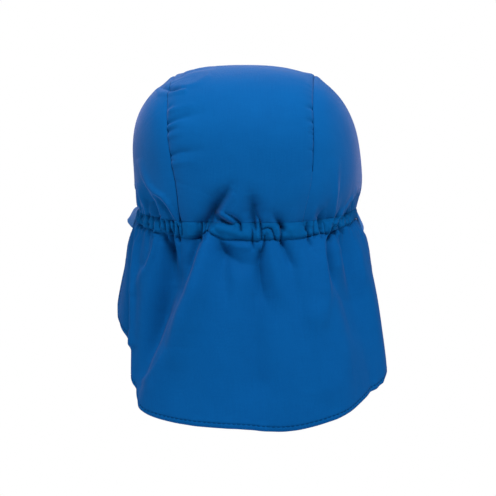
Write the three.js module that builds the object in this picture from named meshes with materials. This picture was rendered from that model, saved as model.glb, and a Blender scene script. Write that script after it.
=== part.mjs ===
// A child's legionnaire cap: a three-panel cloth crown, a soft peak over the face,
// and a neck flap hung from a gathered casing that runs round the nape.
// Millimetres, +Z up. The peak points along -Y and the nape along +Y.
// The origin is the middle of the head opening, level with the rim at the temples.
import * as THREE from "three";

// Crown, as a rounded dome about a centre that lies widestAt above the rim.
const crownWidth = 149.6;
const crownBack = 88;
const crownFront = 84;
const crownTop = 94.5;
const widestAt = 27;
const tuckHeight = 62; // how far below its widest level the dome would close again
const boxiness = 2.6; // 2 is an ellipsoid, more is squarer
const napeDrop = 5; // how much lower the rim sits at the nape than at the temples
const napeDropFlatness = 4; // 2 is an even curve, more keeps the rim low across the nape
const crownLean = 1.3; // how far the worn crown leans to the wearer's left at its top

// Cloth
const clothWall = 1.2;
const casingWall = 1.8;
const peakWall = 2.4;
const hemWall = 1.9;
const gap = 0.3; // between neighbouring pieces
const seamGap = 0.5; // between two crown panels
const seamPull = 1.1; // how deep a panel seam draws the cloth in
const seamPullWidth = 5;
const seamRise = 1.6; // over the top of the head the seams stand up by this instead
const seamRiseTurn = 24; // and how far that reaches to the front and back, in degrees

// Casing and flap
const casingHeight = 11.5; // at the nape
const casingSideHeight = 7; // at its two ends
const casingTurn = 104; // degrees from the nape to each end of the casing
const casingWaist = 1.4; // how far the elastic draws the casing in at mid height
const gatherDepth = 2.2;
const gatherCrownReach = 15; // how far up the crown the gathers fade out
const gatherFlapReach = 24; // and how far down the flap
const flapLength = 117; // from the casing to the hem at the nape
const flapFlare = 21; // how far the hem stands out from the casing at the nape
const flapFlareStart = 0.04; // share of the flap over which that spread begins
const hemDepth = 5;

// Peak
const peakReach = 50; // at the middle of the forehead
const peakFall = 14.6; // at the temple where it hangs lowest
const peakArch = 1.5; // how much the peak bulges up between its seam and its edge
const peakTurn = 1.4; // degrees kept clear between the casing's end and the peak's
const peakCurl = 1.4; // 1 falls straight to the edge, more bends down near the edge

const clothBlue = 0x14599c;
const clothRoughness = 0.75;

// Grid steps of each piece. The seam's steps run from rim to rim, seamEndSteps of them
// up each end, where the side panel has its back and front edges.
const seamSteps = 30;
const seamEndSteps = 8;
const centreColumns = 16;
const casingColumns = 150;
const casingRows = 2;
const flapColumns = 100;
const flapRows = 11;
const peakColumns = 40;
const peakRows = 5;
const passes = 6; // of each loop that closes in on a rim or seam point

// Half the centre panel's width, as a share of the crown's half width.
// turn is in degrees round the side view: 0 at the back, 90 at the top, 180 at the front.
const seamTable = [
  { turn: -34, half: 0.5 },
  { turn: -26, half: 0.517 },
  { turn: -14, half: 0.556 },
  { turn: -4, half: 0.588 },
  { turn: 7, half: 0.616 },
  { turn: 22, half: 0.634 },
  { turn: 40, half: 0.633 },
  { turn: 90, half: 0.613 },
  { turn: 140, half: 0.62 },
  { turn: 170, half: 0.594 },
  { turn: 205, half: 0.554 },
];

// How far the crown leans at each height, as shares of crownTop and crownLean.
const leanTable = [
  { height: -0.1, shift: 0 },
  { height: 0, shift: -0.2 },
  { height: 0.2, shift: -0.9 },
  { height: 0.45, shift: 0 },
  { height: 0.7, shift: 1 },
  { height: 1, shift: 1 },
];

// The flap's hem. turn is in degrees from the nape, + to the wearer's left.
// out is a share of flapFlare, along a share of flapFlare towards larger turns,
// length a share of flapLength, and early how soon the flap spreads below the casing:
// at 1 it spreads evenly all the way down, and at less it spreads near the top.
const hemTable = [
  { turn: -104, out: 0.62, along: -0.3, length: 0.4, early: 0.42 },
  { turn: -100, out: 0.68, along: -0.27, length: 0.53, early: 0.42 },
  { turn: -90, out: 0.8, along: -0.2, length: 0.66, early: 0.4 },
  { turn: -78, out: 0.96, along: -0.14, length: 0.75, early: 0.4 },
  { turn: -65, out: 1.14, along: -0.1, length: 0.86, early: 0.46 },
  { turn: -58, out: 1.09, along: -0.2, length: 0.886, early: 0.52 },
  { turn: -50, out: 0.93, along: -0.28, length: 0.9, early: 0.6 },
  { turn: -35, out: 0.97, along: -0.16, length: 0.965, early: 0.62 },
  { turn: -18, out: 1, along: -0.1, length: 1.012, early: 0.62 },
  { turn: 0, out: 1, along: 0, length: 0.995, early: 0.62 },
  { turn: 18, out: 1, along: 0.08, length: 0.982, early: 0.62 },
  { turn: 32, out: 0.87, along: 0.08, length: 0.964, early: 0.62 },
  { turn: 39, out: 0.72, along: 0.05, length: 0.934, early: 0.6 },
  { turn: 46, out: 0.67, along: 0, length: 0.888, early: 0.58 },
  { turn: 58, out: 0.22, along: -0.1, length: 0.8, early: 0.55 },
  { turn: 70, out: 0.18, along: 0, length: 0.72, early: 0.5 },
  { turn: 82, out: 0.42, along: 0.1, length: 0.672, early: 0.52 },
  { turn: 93, out: 0.67, along: 0.2, length: 0.622, early: 0.54 },
  { turn: 101, out: 0.82, along: 0.34, length: 0.565, early: 0.56 },
  { turn: 104, out: 0.85, along: 0.38, length: 0.49, early: 0.56 },
];

// The peak's free edge from temple to forehead, on the wearer's left and right.
// turn is in degrees from the nape, reach a share of peakReach, fall of peakFall.
const peakEdge = {
  left: [
    { turn: 105, reach: 0.13, fall: 0.86 },
    { turn: 109, reach: 0.192, fall: 0.77 },
    { turn: 113, reach: 0.248, fall: 0.64 },
    { turn: 118, reach: 0.264, fall: 0.48 },
    { turn: 124, reach: 0.31, fall: 0.3 },
    { turn: 131, reach: 0.4, fall: 0.15 },
    { turn: 140, reach: 0.62, fall: 0.1 },
    { turn: 156, reach: 0.9, fall: 0.15 },
    { turn: 170, reach: 0.985, fall: 0.195 },
    { turn: 180, reach: 1, fall: 0.2 },
  ],
  right: [
    { turn: 105, reach: 0.12, fall: 1 },
    { turn: 110, reach: 0.14, fall: 0.91 },
    { turn: 115, reach: 0.152, fall: 0.77 },
    { turn: 120, reach: 0.166, fall: 0.6 },
    { turn: 126, reach: 0.192, fall: 0.425 },
    { turn: 132, reach: 0.256, fall: 0.295 },
    { turn: 140, reach: 0.46, fall: 0.205 },
    { turn: 156, reach: 0.86, fall: 0.18 },
    { turn: 170, reach: 0.98, fall: 0.195 },
    { turn: 180, reach: 1, fall: 0.2 },
  ],
};

// Long folds of the flap: turn at the casing and at the hem, in degrees, how far the
// ridge stands out as a share of flapFlare, and the share of the flap where it peaks.
const foldTable = [
  { top: -52, hem: -60, width: 5, out: -0.26, peak: 0.16 },
  { top: -42, hem: -36, width: 6, out: 0.17, peak: 0.45 },
  { top: -8, hem: -5, width: 6, out: -0.16, peak: 0.35 },
  { top: 13, hem: 37, width: 6, out: 0.24, peak: 0.42 },
  { top: 27, hem: 46, width: 6, out: -0.32, peak: 0.4 },
  { top: 35, hem: 40, width: 4, out: -0.2, peak: 0.12 },
  { top: 61, hem: 54, width: 4.5, out: 0.2, peak: 0.45 },
  { top: 84, hem: 76, width: 6, out: -0.18, peak: 0.4 },
];

// The main gathers: turn in degrees, depth as a share of gatherDepth, width in degrees,
// and how far it runs up the crown as a share of gatherCrownReach.
const gatherTable = [
  { turn: -47, depth: 1.0, width: 1.5, rise: 0.8 },
  { turn: -39.5, depth: 1.1, width: 1.7, rise: 1.4 },
  { turn: -32.5, depth: 0.9, width: 1.5, rise: 0.7 },
  { turn: -18.5, depth: 1.1, width: 1.7, rise: 1.3 },
  { turn: -12, depth: 0.9, width: 1.6, rise: 0.8 },
  { turn: -4.5, depth: 1.2, width: 2.0, rise: 2.1 },
  { turn: 14.5, depth: 1.0, width: 1.7, rise: 1.0 },
  { turn: 19.5, depth: 1.2, width: 1.8, rise: 1.6 },
  { turn: 29.5, depth: 1.1, width: 1.7, rise: 1.0 },
  { turn: 34.5, depth: 1.0, width: 1.6, rise: 1.2 },
  { turn: 42, depth: 0.9, width: 1.5, rise: 1.6 },
  { turn: 48.5, depth: 1.0, width: 1.5, rise: 1.4 },
];
const sideGatherFrom = 54; // past this turn the gathers are small and even
const sideGatherPitch = 5.2;
const sideGather = { depth: 0.55, width: 1.5, rise: 0.9 };

// Long creases of the crown, drawn on the back view. Sides are a share of the crown's
// half width, + to the wearer's left, and heights a share of crownTop above the rim.
const creaseTable = [
  { side: 0.4, height: -0.09, toSide: 0.12, toHeight: 0.23, width: 4.2, depth: 2.4 },
  { side: -0.13, height: -0.09, toSide: -0.14, toHeight: 0.16, width: 3.4, depth: 1.8 },
  { side: -0.62, height: -0.06, toSide: -0.6, toHeight: 0.13, width: 3, depth: 1.4 },
  { side: 0.74, height: 0.0, toSide: 0.9, toHeight: 0.26, width: 3.4, depth: 1.9 },
  { side: 0.6, height: -0.04, toSide: 0.79, toHeight: 0.2, width: 3.4, depth: 1.5 },
  { side: -0.84, height: 0.0, toSide: -0.95, toHeight: 0.24, width: 3, depth: 1.2 },
];

const radians = Math.PI / 180;
const halfWidth = crownWidth / 2;
const crownCentre = new THREE.Vector3(0, 0, widestAt);

// A smooth curve through a table's rows: the value of column at place.
function readTable(table, place, column, key = "turn") {
  const last = table.length - 1;
  if (place <= table[0][key]) return table[0][column];
  if (place >= table[last][key]) return table[last][column];
  const i = table.findIndex((row) => row[key] > place) - 1;
  const [a, b] = [table[i], table[i + 1]];
  const [before, after] = [table[Math.max(i - 1, 0)], table[Math.min(i + 2, last)]];
  const span = b[key] - a[key];
  const t = (place - a[key]) / span;
  const slopeA = ((b[column] - before[column]) / (b[key] - before[key])) * span;
  const slopeB = ((after[column] - a[column]) / (after[key] - a[key])) * span;
  const [t2, t3] = [t * t, t * t * t];
  return (
    (2 * t3 - 3 * t2 + 1) * a[column] +
    (t3 - 2 * t2 + t) * slopeA +
    (3 * t2 - 2 * t3) * b[column] +
    (t3 - t2) * slopeB
  );
}

const bell = (distance, width) => Math.exp(-((distance / width) ** 2));
const power = (value, exponent = boxiness) => Math.abs(value) ** exponent;

// The dome's half sizes on the side of its centre where an offset lies.
const depthOf = (y) => (y > 0 ? crownBack : crownFront);
const heightOf = (z) => (z > 0 ? crownTop - widestAt : tuckHeight);

// How far the dome reaches along a direction from its centre.
function domeReach(direction) {
  const { x, y, z } = direction;
  const sum = power(x / halfWidth) + power(y / depthOf(y)) + power(z / heightOf(z));
  return sum ** (-1 / boxiness);
}

// The dome's plain outward normal at a point given from its centre.
function domeNormal(offset) {
  const slope = (value, size) => (Math.sign(value) * power(value / size, boxiness - 1)) / size;
  const { x, y, z } = offset;
  return new THREE.Vector3(slope(x, halfWidth), slope(y, depthOf(y)), slope(z, heightOf(z))).normalize();
}

// The rim's height where it lies side millimetres from the middle, at the back or front.
const rimSideHalf = halfWidth * (1 - power(widestAt / tuckHeight)) ** (1 / boxiness);
function rimHeight(side, atBack) {
  return atBack ? -napeDrop * Math.max(0, 1 - power(side / rimSideHalf, napeDropFlatness)) : 0;
}

// The rim's point at a turn from the nape, in degrees.
function rimPoint(turn) {
  const [sine, cosine] = [Math.sin(turn * radians), Math.cos(turn * radians)];
  const plan = (power(sine / halfWidth) + power(cosine / depthOf(cosine))) ** (-1 / boxiness);
  const point = new THREE.Vector3();
  for (let pass = 0; pass < passes; pass += 1) {
    const shrink = (1 - power((point.z - widestAt) / tuckHeight)) ** (1 / boxiness);
    point.x = plan * shrink * sine;
    point.y = plan * shrink * cosine;
    point.z = rimHeight(point.x, cosine > 0);
  }
  return point;
}

// The level outward direction of the rim at a turn, and the direction along it.
function rimOutward(turn) {
  const normal = domeNormal(rimPoint(turn).sub(crownCentre));
  return normal.setZ(0).normalize();
}
const rimAlong = (turn) => {
  const out = rimOutward(turn);
  return new THREE.Vector3(out.y, -out.x, 0);
};

// How far the gathers move the cloth at a turn, at a distance above the casing.
const allGathers = [...gatherTable];
for (let turn = sideGatherFrom; turn < casingTurn - 1; turn += sideGatherPitch) {
  allGathers.push({ turn, ...sideGather }, { turn: -turn, ...sideGather });
}
function gatherAt(turn, distance) {
  return allGathers.reduce((sum, row) => {
    const faded = bell(distance, gatherCrownReach * row.rise);
    return sum - gatherDepth * row.depth * bell(turn - row.turn, row.width) * faded;
  }, 0);
}

// Distance from a point to a crease's line on the back view, and the share along it.
function creaseDepth(point, row) {
  const from = new THREE.Vector2(row.side * halfWidth, row.height * crownTop);
  const line = new THREE.Vector2(row.toSide * halfWidth, row.toHeight * crownTop).sub(from);
  const local = new THREE.Vector2(point.x, point.z).sub(from);
  const share = THREE.MathUtils.clamp(local.dot(line) / line.lengthSq(), 0, 1);
  const distance = local.addScaledVector(line, -share).length();
  return -row.depth * bell(distance, row.width) * (1 - share ** 2);
}

// The half width of the centre panel at a turn of the side view.
const seamHalf = (turn) => readTable(seamTable, turn, "half") * halfWidth;

// A dome point moved in or out by its seams, gathers and creases, and leaned over.
function dressed(offset) {
  const point = offset.clone().add(crownCentre);
  const turn = Math.atan2(point.x, point.y) / radians;
  const fromTop = Math.atan2(offset.y, offset.z) / radians;
  const aboveRim = Math.max(0, point.z - rimHeight(point.x, offset.y > 0));
  const pull = seamPull - (seamPull + seamRise) * bell(fromTop, seamRiseTurn);
  let move = -pull * bell(Math.abs(point.x) - seamHalf(90 - fromTop), seamPullWidth);
  if (Math.abs(turn) < casingTurn) {
    move += gatherAt(turn, aboveRim);
  }
  if (offset.y > 0) {
    for (const row of creaseTable) move += creaseDepth(point, row);
  }
  point.x += crownLean * readTable(leanTable, point.z / crownTop, "shift", "height");
  const outward = domeNormal(offset);
  outward.z *= Math.min(1, aboveRim / gatherCrownReach);
  return point.addScaledVector(outward, move);
}

// A point of the crown side millimetres from the middle, at a turn of the side view.
function profileOffset(side, turn) {
  const [y, z] = [Math.cos(turn * radians), Math.sin(turn * radians)];
  const shrink = (1 - power(side / halfWidth)) ** (1 / boxiness);
  const reach = shrink * (power(y / depthOf(y)) + power(z / heightOf(z))) ** (-1 / boxiness);
  return new THREE.Vector3(side, reach * y, reach * z);
}

// The turn of the side view at which the crown reaches its rim, at the back or front.
function rimTurn(side, atBack) {
  const z = rimHeight(side, atBack) - widestAt;
  const rest = 1 - power(side / halfWidth) - power(z / tuckHeight);
  const y = (atBack ? crownBack : crownFront) * rest ** (1 / boxiness);
  const turn = Math.atan2(z, y) / radians;
  return atBack ? turn : 180 - turn;
}

// The turn of the side view at which a seam meets the rim.
function seamEnd(atBack) {
  let turn = atBack ? 0 : 180;
  for (let pass = 0; pass < passes; pass += 1) turn = rimTurn(seamHalf(turn), atBack);
  return turn;
}

// The seam line of one panel, from the back rim (0) over the top to the front rim (1).
function seamOffset(share, sign, clear) {
  const turn = THREE.MathUtils.lerp(seamEnd(true), seamEnd(false), share);
  return profileOffset(sign * (seamHalf(turn) + clear), turn);
}

// A closed cloth solid about a surface: pointAt(u, v) is its middle, wallAt(u, v) its
// thickness. levelRows names the edges, 0 at v = 0 and 1 at v = 1, that are cut level,
// so that they meet a neighbour's edge. Its faces point out whichever way it runs.
function clothSolid(pointAt, columns, rows, wallAt, levelRows = []) {
  const step = 1e-3;
  const sides = [[], []];
  for (let j = 0; j <= rows; j += 1) {
    for (let i = 0; i <= columns; i += 1) {
      const [u, v] = [i / columns, j / rows];
      const [u0, u1] = [Math.max(u - step, 0), Math.min(u + step, 1)];
      const [v0, v1] = [Math.max(v - step, 0), Math.min(v + step, 1)];
      const across = pointAt(u1, v).sub(pointAt(u0, v));
      const down = pointAt(u, v1).sub(pointAt(u, v0));
      const normal = across.cross(down);
      if (levelRows.includes(v)) normal.setZ(0);
      normal.normalize();
      const middle = pointAt(u, v);
      sides[0].push(middle.clone().addScaledVector(normal, wallAt(u, v) / 2));
      sides[1].push(middle.clone().addScaledVector(normal, -wallAt(u, v) / 2));
    }
  }
  const count = sides[0].length;
  const at = (i, j, side) => j * (columns + 1) + i + side * count;
  const faces = [];
  const quad = (a, b, c, d) => faces.push([a, b, c], [a, c, d]);
  for (let j = 0; j < rows; j += 1) {
    for (let i = 0; i < columns; i += 1) {
      quad(at(i, j, 0), at(i + 1, j, 0), at(i + 1, j + 1, 0), at(i, j + 1, 0));
      quad(at(i, j, 1), at(i, j + 1, 1), at(i + 1, j + 1, 1), at(i + 1, j, 1));
    }
  }
  for (let i = 0; i < columns; i += 1) {
    quad(at(i, 0, 1), at(i + 1, 0, 1), at(i + 1, 0, 0), at(i, 0, 0));
    quad(at(i, rows, 0), at(i + 1, rows, 0), at(i + 1, rows, 1), at(i, rows, 1));
  }
  for (let j = 0; j < rows; j += 1) {
    quad(at(0, j, 0), at(0, j + 1, 0), at(0, j + 1, 1), at(0, j, 1));
    quad(at(columns, j, 1), at(columns, j + 1, 1), at(columns, j + 1, 0), at(columns, j, 0));
  }
  const points = [...sides[0], ...sides[1]];
  const volume = faces.reduce(
    (sum, [a, b, c]) => sum + points[a].dot(points[b].clone().cross(points[c])),
    0,
  );
  if (volume < 0) faces.forEach((face) => face.reverse());
  const geometry = new THREE.BufferGeometry().setFromPoints(points);
  geometry.setIndex(faces.flat());
  geometry.computeVertexNormals();
  return geometry;
}

function piece(name, geometry) {
  const mesh = new THREE.Mesh(
    geometry,
    new THREE.MeshStandardMaterial({ color: clothBlue, roughness: clothRoughness, metalness: 0 }),
  );
  mesh.name = name;
  return mesh;
}

// The strip that runs from the nape over the head to the forehead.
function centrePanel() {
  const pointAt = (u, v) => {
    const across = 2 * u - 1;
    let turn = 90;
    let side = 0;
    for (let pass = 0; pass < passes; pass += 1) {
      turn = THREE.MathUtils.lerp(rimTurn(side, true), rimTurn(side, false), v);
      side = across * (seamHalf(turn) - seamGap / 2);
    }
    return dressed(profileOffset(side, turn));
  };
  const edges = [0, 1];
  return piece("crown_center_panel", clothSolid(pointAt, centreColumns, seamSteps, () => clothWall, edges));
}

// A side panel, from the seam down to the rim. sign is +1 on the wearer's left.
// Its four edges are the rim, the seam up the back, the seam over the top, and the
// seam down the front, and its inside is blended from them and pushed onto the dome.
function sidePanel(name, sign) {
  const cornerShare = seamEndSteps / seamSteps;
  const seam = (share) => seamOffset(share, sign, seamGap / 2);
  const rimEnds = [seam(0), seam(1)].map((end) => Math.atan2(Math.abs(end.x), end.y) / radians);
  const rim = (u) => rimPoint(sign * THREE.MathUtils.lerp(rimEnds[0], rimEnds[1], u)).sub(crownCentre);
  const back = (v) => seam(cornerShare * v);
  const front = (v) => seam(1 - cornerShare * v);
  const top = (u) => seam(THREE.MathUtils.lerp(cornerShare, 1 - cornerShare, u));
  const mix = (a, b, t) => a.clone().multiplyScalar(1 - t).addScaledVector(b, t);
  const pointAt = (u, v) => {
    const corners = mix(mix(rim(0), rim(1), u), mix(top(0), top(1), u), v);
    const direction = mix(rim(u), top(u), v).add(mix(back(v), front(v), u)).sub(corners).normalize();
    return dressed(direction.multiplyScalar(domeReach(direction)));
  };
  const columns = 2 * (seamSteps - 2 * seamEndSteps);
  return piece(name, clothSolid(pointAt, columns, seamEndSteps, () => clothWall, [0]));
}

// The casing is narrower towards its ends.
const casingDeep = (turn) => {
  const fromNape = Math.sin(Math.min(Math.abs(turn), 90) * radians) ** 2;
  return THREE.MathUtils.lerp(casingHeight, casingSideHeight, fromNape);
};

// The middle of the casing at a turn from the nape, v running down it.
function casingPoint(turn, v) {
  const rim = rimPoint(turn);
  const waist = casingWaist * Math.sin(Math.PI * v);
  return dressed(rim.clone().sub(crownCentre))
    .addScaledVector(rimOutward(turn), -waist)
    .setZ(rim.z - gap - v * casingDeep(turn));
}

function napeCasing() {
  const pointAt = (u, v) => casingPoint(casingTurn * (2 * u - 1), v);
  return piece("nape_casing", clothSolid(pointAt, casingColumns, casingRows, () => casingWall, [0, 1]));
}

// The flap that hangs from the casing, v running from the casing to the hem.
function flapPoint(turn, v) {
  const hem = (column) => readTable(hemTable, turn, column);
  const length = hem("length") * flapLength;
  const folds = foldTable.reduce((sum, row) => {
    const centre = THREE.MathUtils.lerp(row.top, row.hem, v);
    const swell = (v / row.peak) * Math.exp(1 - v / row.peak);
    return sum + row.out * bell(turn - centre, row.width) * swell;
  }, 0);
  const spread = (share) => (share + flapFlareStart) ** hem("early");
  const flare = (hem("out") * (spread(v) - spread(0))) / (spread(1) - spread(0)) + folds;
  const rim = rimPoint(turn);
  const gathers = dressed(rim.clone().sub(crownCentre)).sub(rim);
  return rim
    .addScaledVector(gathers.setZ(0), bell(v * length, gatherFlapReach))
    .addScaledVector(rimOutward(turn), flare * flapFlare)
    .addScaledVector(rimAlong(turn), hem("along") * flapFlare * v * v)
    .setZ(rim.z - casingDeep(turn) - 2 * gap - v * length);
}

function neckFlap() {
  const pointAt = (u, v) => flapPoint(casingTurn * (2 * u - 1), v);
  const wallAt = (u, v) => (v > 1 - hemDepth / flapLength ? hemWall : clothWall);
  return piece("neck_flap", clothSolid(pointAt, flapColumns, flapRows, wallAt, [0]));
}

// The soft peak from temple to temple. w runs from the crown's rim to the free edge.
function peakPoint(turn, w) {
  const edge = peakEdge[turn > 0 ? "left" : "right"];
  const reach = readTable(edge, Math.abs(turn), "reach") * peakReach;
  const fall = readTable(edge, Math.abs(turn), "fall") * peakFall;
  const arch = (peakArch * Math.sin(Math.PI * w) * reach) / peakReach;
  const start = rimPoint(turn);
  return start
    .clone()
    .addScaledVector(rimOutward(turn), reach * w)
    .setZ(start.z - gap - peakWall / 2 - fall * w ** peakCurl + arch);
}

function peak() {
  const from = casingTurn + peakTurn;
  const pointAt = (u, w) => {
    const turn = THREE.MathUtils.lerp(from, 360 - from, u);
    return peakPoint(turn > 180 ? turn - 360 : turn, w);
  };
  return piece("peak", clothSolid(pointAt, peakColumns, peakRows, () => peakWall));
}

const cap = new THREE.Group();
cap.name = "legionnaire_cap";
cap.add(
  centrePanel(),
  sidePanel("crown_side_panel_left", 1),
  sidePanel("crown_side_panel_right", -1),
  napeCasing(),
  neckFlap(),
  peak(),
);

export default cap;
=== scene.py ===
# A child's legionnaire cap in blue woven cloth, seen from behind as it is worn.
# Sizes are in millimetres and become metres where a mesh is made. -Y is the front.
import math

import bpy
import numpy as np
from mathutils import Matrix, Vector


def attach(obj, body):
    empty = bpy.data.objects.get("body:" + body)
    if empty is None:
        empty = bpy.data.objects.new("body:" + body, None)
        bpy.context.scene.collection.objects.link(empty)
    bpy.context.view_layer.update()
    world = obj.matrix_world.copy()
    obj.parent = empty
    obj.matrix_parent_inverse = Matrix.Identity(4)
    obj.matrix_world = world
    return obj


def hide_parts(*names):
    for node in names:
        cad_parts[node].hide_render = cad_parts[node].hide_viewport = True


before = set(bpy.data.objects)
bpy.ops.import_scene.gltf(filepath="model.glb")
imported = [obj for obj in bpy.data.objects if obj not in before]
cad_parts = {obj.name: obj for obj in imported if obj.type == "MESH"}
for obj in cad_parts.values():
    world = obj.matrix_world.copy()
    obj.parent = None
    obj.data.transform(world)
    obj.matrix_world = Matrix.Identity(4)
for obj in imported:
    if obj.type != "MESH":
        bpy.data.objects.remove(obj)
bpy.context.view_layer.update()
mm = 0.001
passes = 6  # of each loop that closes in on a point of the rim or of a seam
print("frame loaded:", ", ".join(sorted(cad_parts)))


# Curves and small helpers

def bell(distance, width):
    return np.exp(-((distance / width) ** 2))


def blend(a, b, share):
    return a + (b - a) * share


def ease(value, start, end):
    share = np.clip((value - start) / (end - start), 0, 1)
    return share * share * (3 - 2 * share)


def unit(vectors):
    return vectors / np.maximum(np.linalg.norm(vectors, axis=-1, keepdims=True), 1e-9)


def tableCurve(rows, key, column, place):  # a smooth curve through a table's rows
    x = np.array([row[key] for row in rows], dtype=float)
    y = np.array([row[column] for row in rows], dtype=float)
    place = np.clip(place, x[0], x[-1])
    i = np.clip(np.searchsorted(x, place, side="right") - 1, 0, len(x) - 2)
    before, after = np.maximum(i - 1, 0), np.minimum(i + 2, len(x) - 1)
    span = x[i + 1] - x[i]
    t = (place - x[i]) / span
    slopeA = (y[i + 1] - y[before]) / (x[i + 1] - x[before]) * span
    slopeB = (y[after] - y[i]) / (x[after] - x[i]) * span
    t2, t3 = t * t, t * t * t
    return (
        (2 * t3 - 3 * t2 + 1) * y[i] + (t3 - 2 * t2 + t) * slopeA
        + (3 * t2 - 2 * t3) * y[i + 1] + (t3 - t2) * slopeB
    )


def slackWaves(points, wavelength, seed, count=9):  # soft uneven waves, about -1 to 1
    rng = np.random.default_rng(seed)
    total = np.zeros(points.shape[:-1])
    for _ in range(count):
        direction = unit(rng.normal(size=3))
        pitch = wavelength * rng.uniform(0.7, 1.5)
        total += np.sin(points @ direction * 2 * math.pi / pitch + rng.uniform(0, 2 * math.pi))
    return total / math.sqrt(count)


# The camera's place, which the drawn folds below are measured by

camera = {
    "azimuth": 182.5,
    "elevation": 4.0,
    "distance": 1600.0,
    "target": (-1.0, 0.0, -26.6),
    "perPixel": 0.665,
    "frame": 496,
}

azimuth, elevation = math.radians(camera["azimuth"]), math.radians(camera["elevation"])
level = math.cos(elevation)
cameraBack = np.array([math.sin(azimuth) * level, -math.cos(azimuth) * level, math.sin(elevation)])
cameraRight = unit(np.cross(-cameraBack, [0, 0, 1]))
cameraUp = np.cross(cameraRight, -cameraBack)
cameraSpot = np.array(camera["target"]) + cameraBack * camera["distance"]


def seenAt(points):  # where points show from there: millimetres across from the middle, and up
    away = points - cameraSpot
    nearer = camera["distance"] / -(away @ cameraBack)
    return away @ cameraRight * nearer, away @ cameraUp * nearer + camera["target"][2]


# Folds and puckers of the back, each drawn as a stroke: its path is millimetres across and
# up as seen from the camera, its width and depth run along it, + stands out and - sinks in,
# and lean makes the right side broader and the left side steeper
def stroke(path, width, depth, lean=0.0):
    return {"path": np.array(path, dtype=float), "width": width, "depth": depth, "lean": lean}


crownFolds = [
    stroke([(-12, 14.5), (-15.5, 9), (-19.5, 3.5), (-23, -2), (-25.5, -8)],
           (4.0, 5.4, 4.2), (-1.4, -6.0, -8.2, -5.6)),
    stroke([(-25, -4), (-29.5, -10), (-33, -19)], (3.2, 2.0), (-3.2, -2.4)),
    stroke([(-10, 8), (-15, 1), (-18, -4)], (2.0, 2.2), (0.6, 1.4)),
    stroke([(-36, 8), (-38, -8)], (5, 6), (0.2, 1.3)),
    stroke([(-8, 4), (-9, -3)], (4, 4), (0.5, 1.2)),
    stroke([(-1, 13), (-1, -3)], (6, 5), (-0.3, -1.0)),
    stroke([(2.5, 9), (3.5, 1), (3.5, -7), (5, -14)], (4.2, 4.6, 2.0), (-1.2, -5.2, -5.8, -3.2)),
    stroke([(13, 3), (14, -9)], (5, 5), (0.3, 1.1)),
    stroke([(16.5, -4), (20.5, -8.5), (23, -14)], (3.0, 1.7), (-0.8, -4.0, -4.0)),
    stroke([(28, 1), (29, -13)], (6, 6), (0.2, 1.2)),
    stroke([(34, -9), (36.5, -10.5), (39, -15)], (1.2, 1.0), (-0.4, -1.8)),
    stroke([(45, -0.5), (43.5, -5), (41.8, -11)], (1.6, 1.6), (0.5, 1.0)),
    stroke([(52, 0.5), (49.8, -2.5), (48.5, -8), (48.8, -14)], (3.0, 2.8, 1.6), (-0.6, -4.8, -4.0)),
    # the side panels' shoulders beside the seams
    stroke([(50.5, 87), (55, 82)], (2.4, 3.4), (1.6, 1.0)),
    stroke([(-51, 86), (-55, 82.5)], (2.0, 3.0), (0.8, 0.5)),
    stroke([(-41, 91), (-28, 95)], (3.0, 6.0), (1.5, 0.8)),
    # slanting folds of the left panel
    stroke([(-72, 30), (-69, 22), (-66, 15), (-62, 10.5), (-57, 7.5), (-53, 2), (-49, -5), (-45, -11)],
           (2.0, 1.6, 1.2), (0.5, 1.6, 1.4, 1.2), lean=0.2),
    stroke([(-69, 15), (-66.5, 6), (-63, -1), (-60.5, -6)], (2.0, 3.0, 2.0), (-0.8, -4.8, -4.2)),
    stroke([(-73.5, 16), (-71, 7), (-69, 2), (-67, -3), (-66.5, -9)], (0.9, 0.9), (0.6, 1.4, 1.0)),
    stroke([(-74.5, 12), (-72.8, 5), (-71.6, -1)], (0.9, 0.8), (-0.6, -1.5)),
    stroke([(-64, 9), (-61, 5), (-59, 0), (-57, -8)], (1.3, 1.2), (0.3, 1.0, 0.8)),
    stroke([(-62, 8), (-57.5, 3.5), (-54, -1.5), (-51, -7)], (1.6, 1.4), (-0.4, -2.0, -1.6)),
    stroke([(-50.5, 2), (-47.5, -4), (-44, -9)], (1.2, 1.0), (-0.2, -1.1)),
    # and of the right panel
    stroke([(59, 30), (58.5, 12), (57, 0), (55.5, -9)], (3.2, 1.4, 1.0), (0.4, 1.4, 1.3), lean=-0.3),
    stroke([(73, 14), (70.5, 8), (67.5, 4), (64.5, 0), (61, -5), (58, -10)],
           (1.1, 1.0, 1.1), (0.3, 1.7, 1.3)),
    stroke([(72.5, 8), (70, 3.5), (66.5, -2), (63.5, -7)], (1.1, 1.2), (-0.5, -1.9, -1.0)),
    stroke([(67, 4), (63, -1), (59, -6)], (1.8, 1.5), (-0.5, -1.3)),
    stroke([(53.5, 4), (53, -8)], (2.0, 1.5), (-0.4, -1.2)),
]

topFolds = [  # the tuck at the upper left, and the faint line inside the crown's top edge
    stroke([(-58, 80), (-50, 79.2), (-42, 79.4)], (1.1, 1.2, 0.9), (-0.9, -2.4, -0.9)),
    stroke([(-60, 76.4), (-50, 76.6), (-42, 77.5)], (1.7, 1.5), (0.6, 1.0)),
    stroke([(-44, 80), (-34, 82.5), (-27, 87)], (1.8, 2.4), (0.8, 0.5)),
    stroke([(-57, 82), (-50, 86.2), (-44, 88.4), (-35, 91), (-22, 93)], (0.9, 1.0), (-1.4, -1.6, -0.6)),
]

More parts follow.
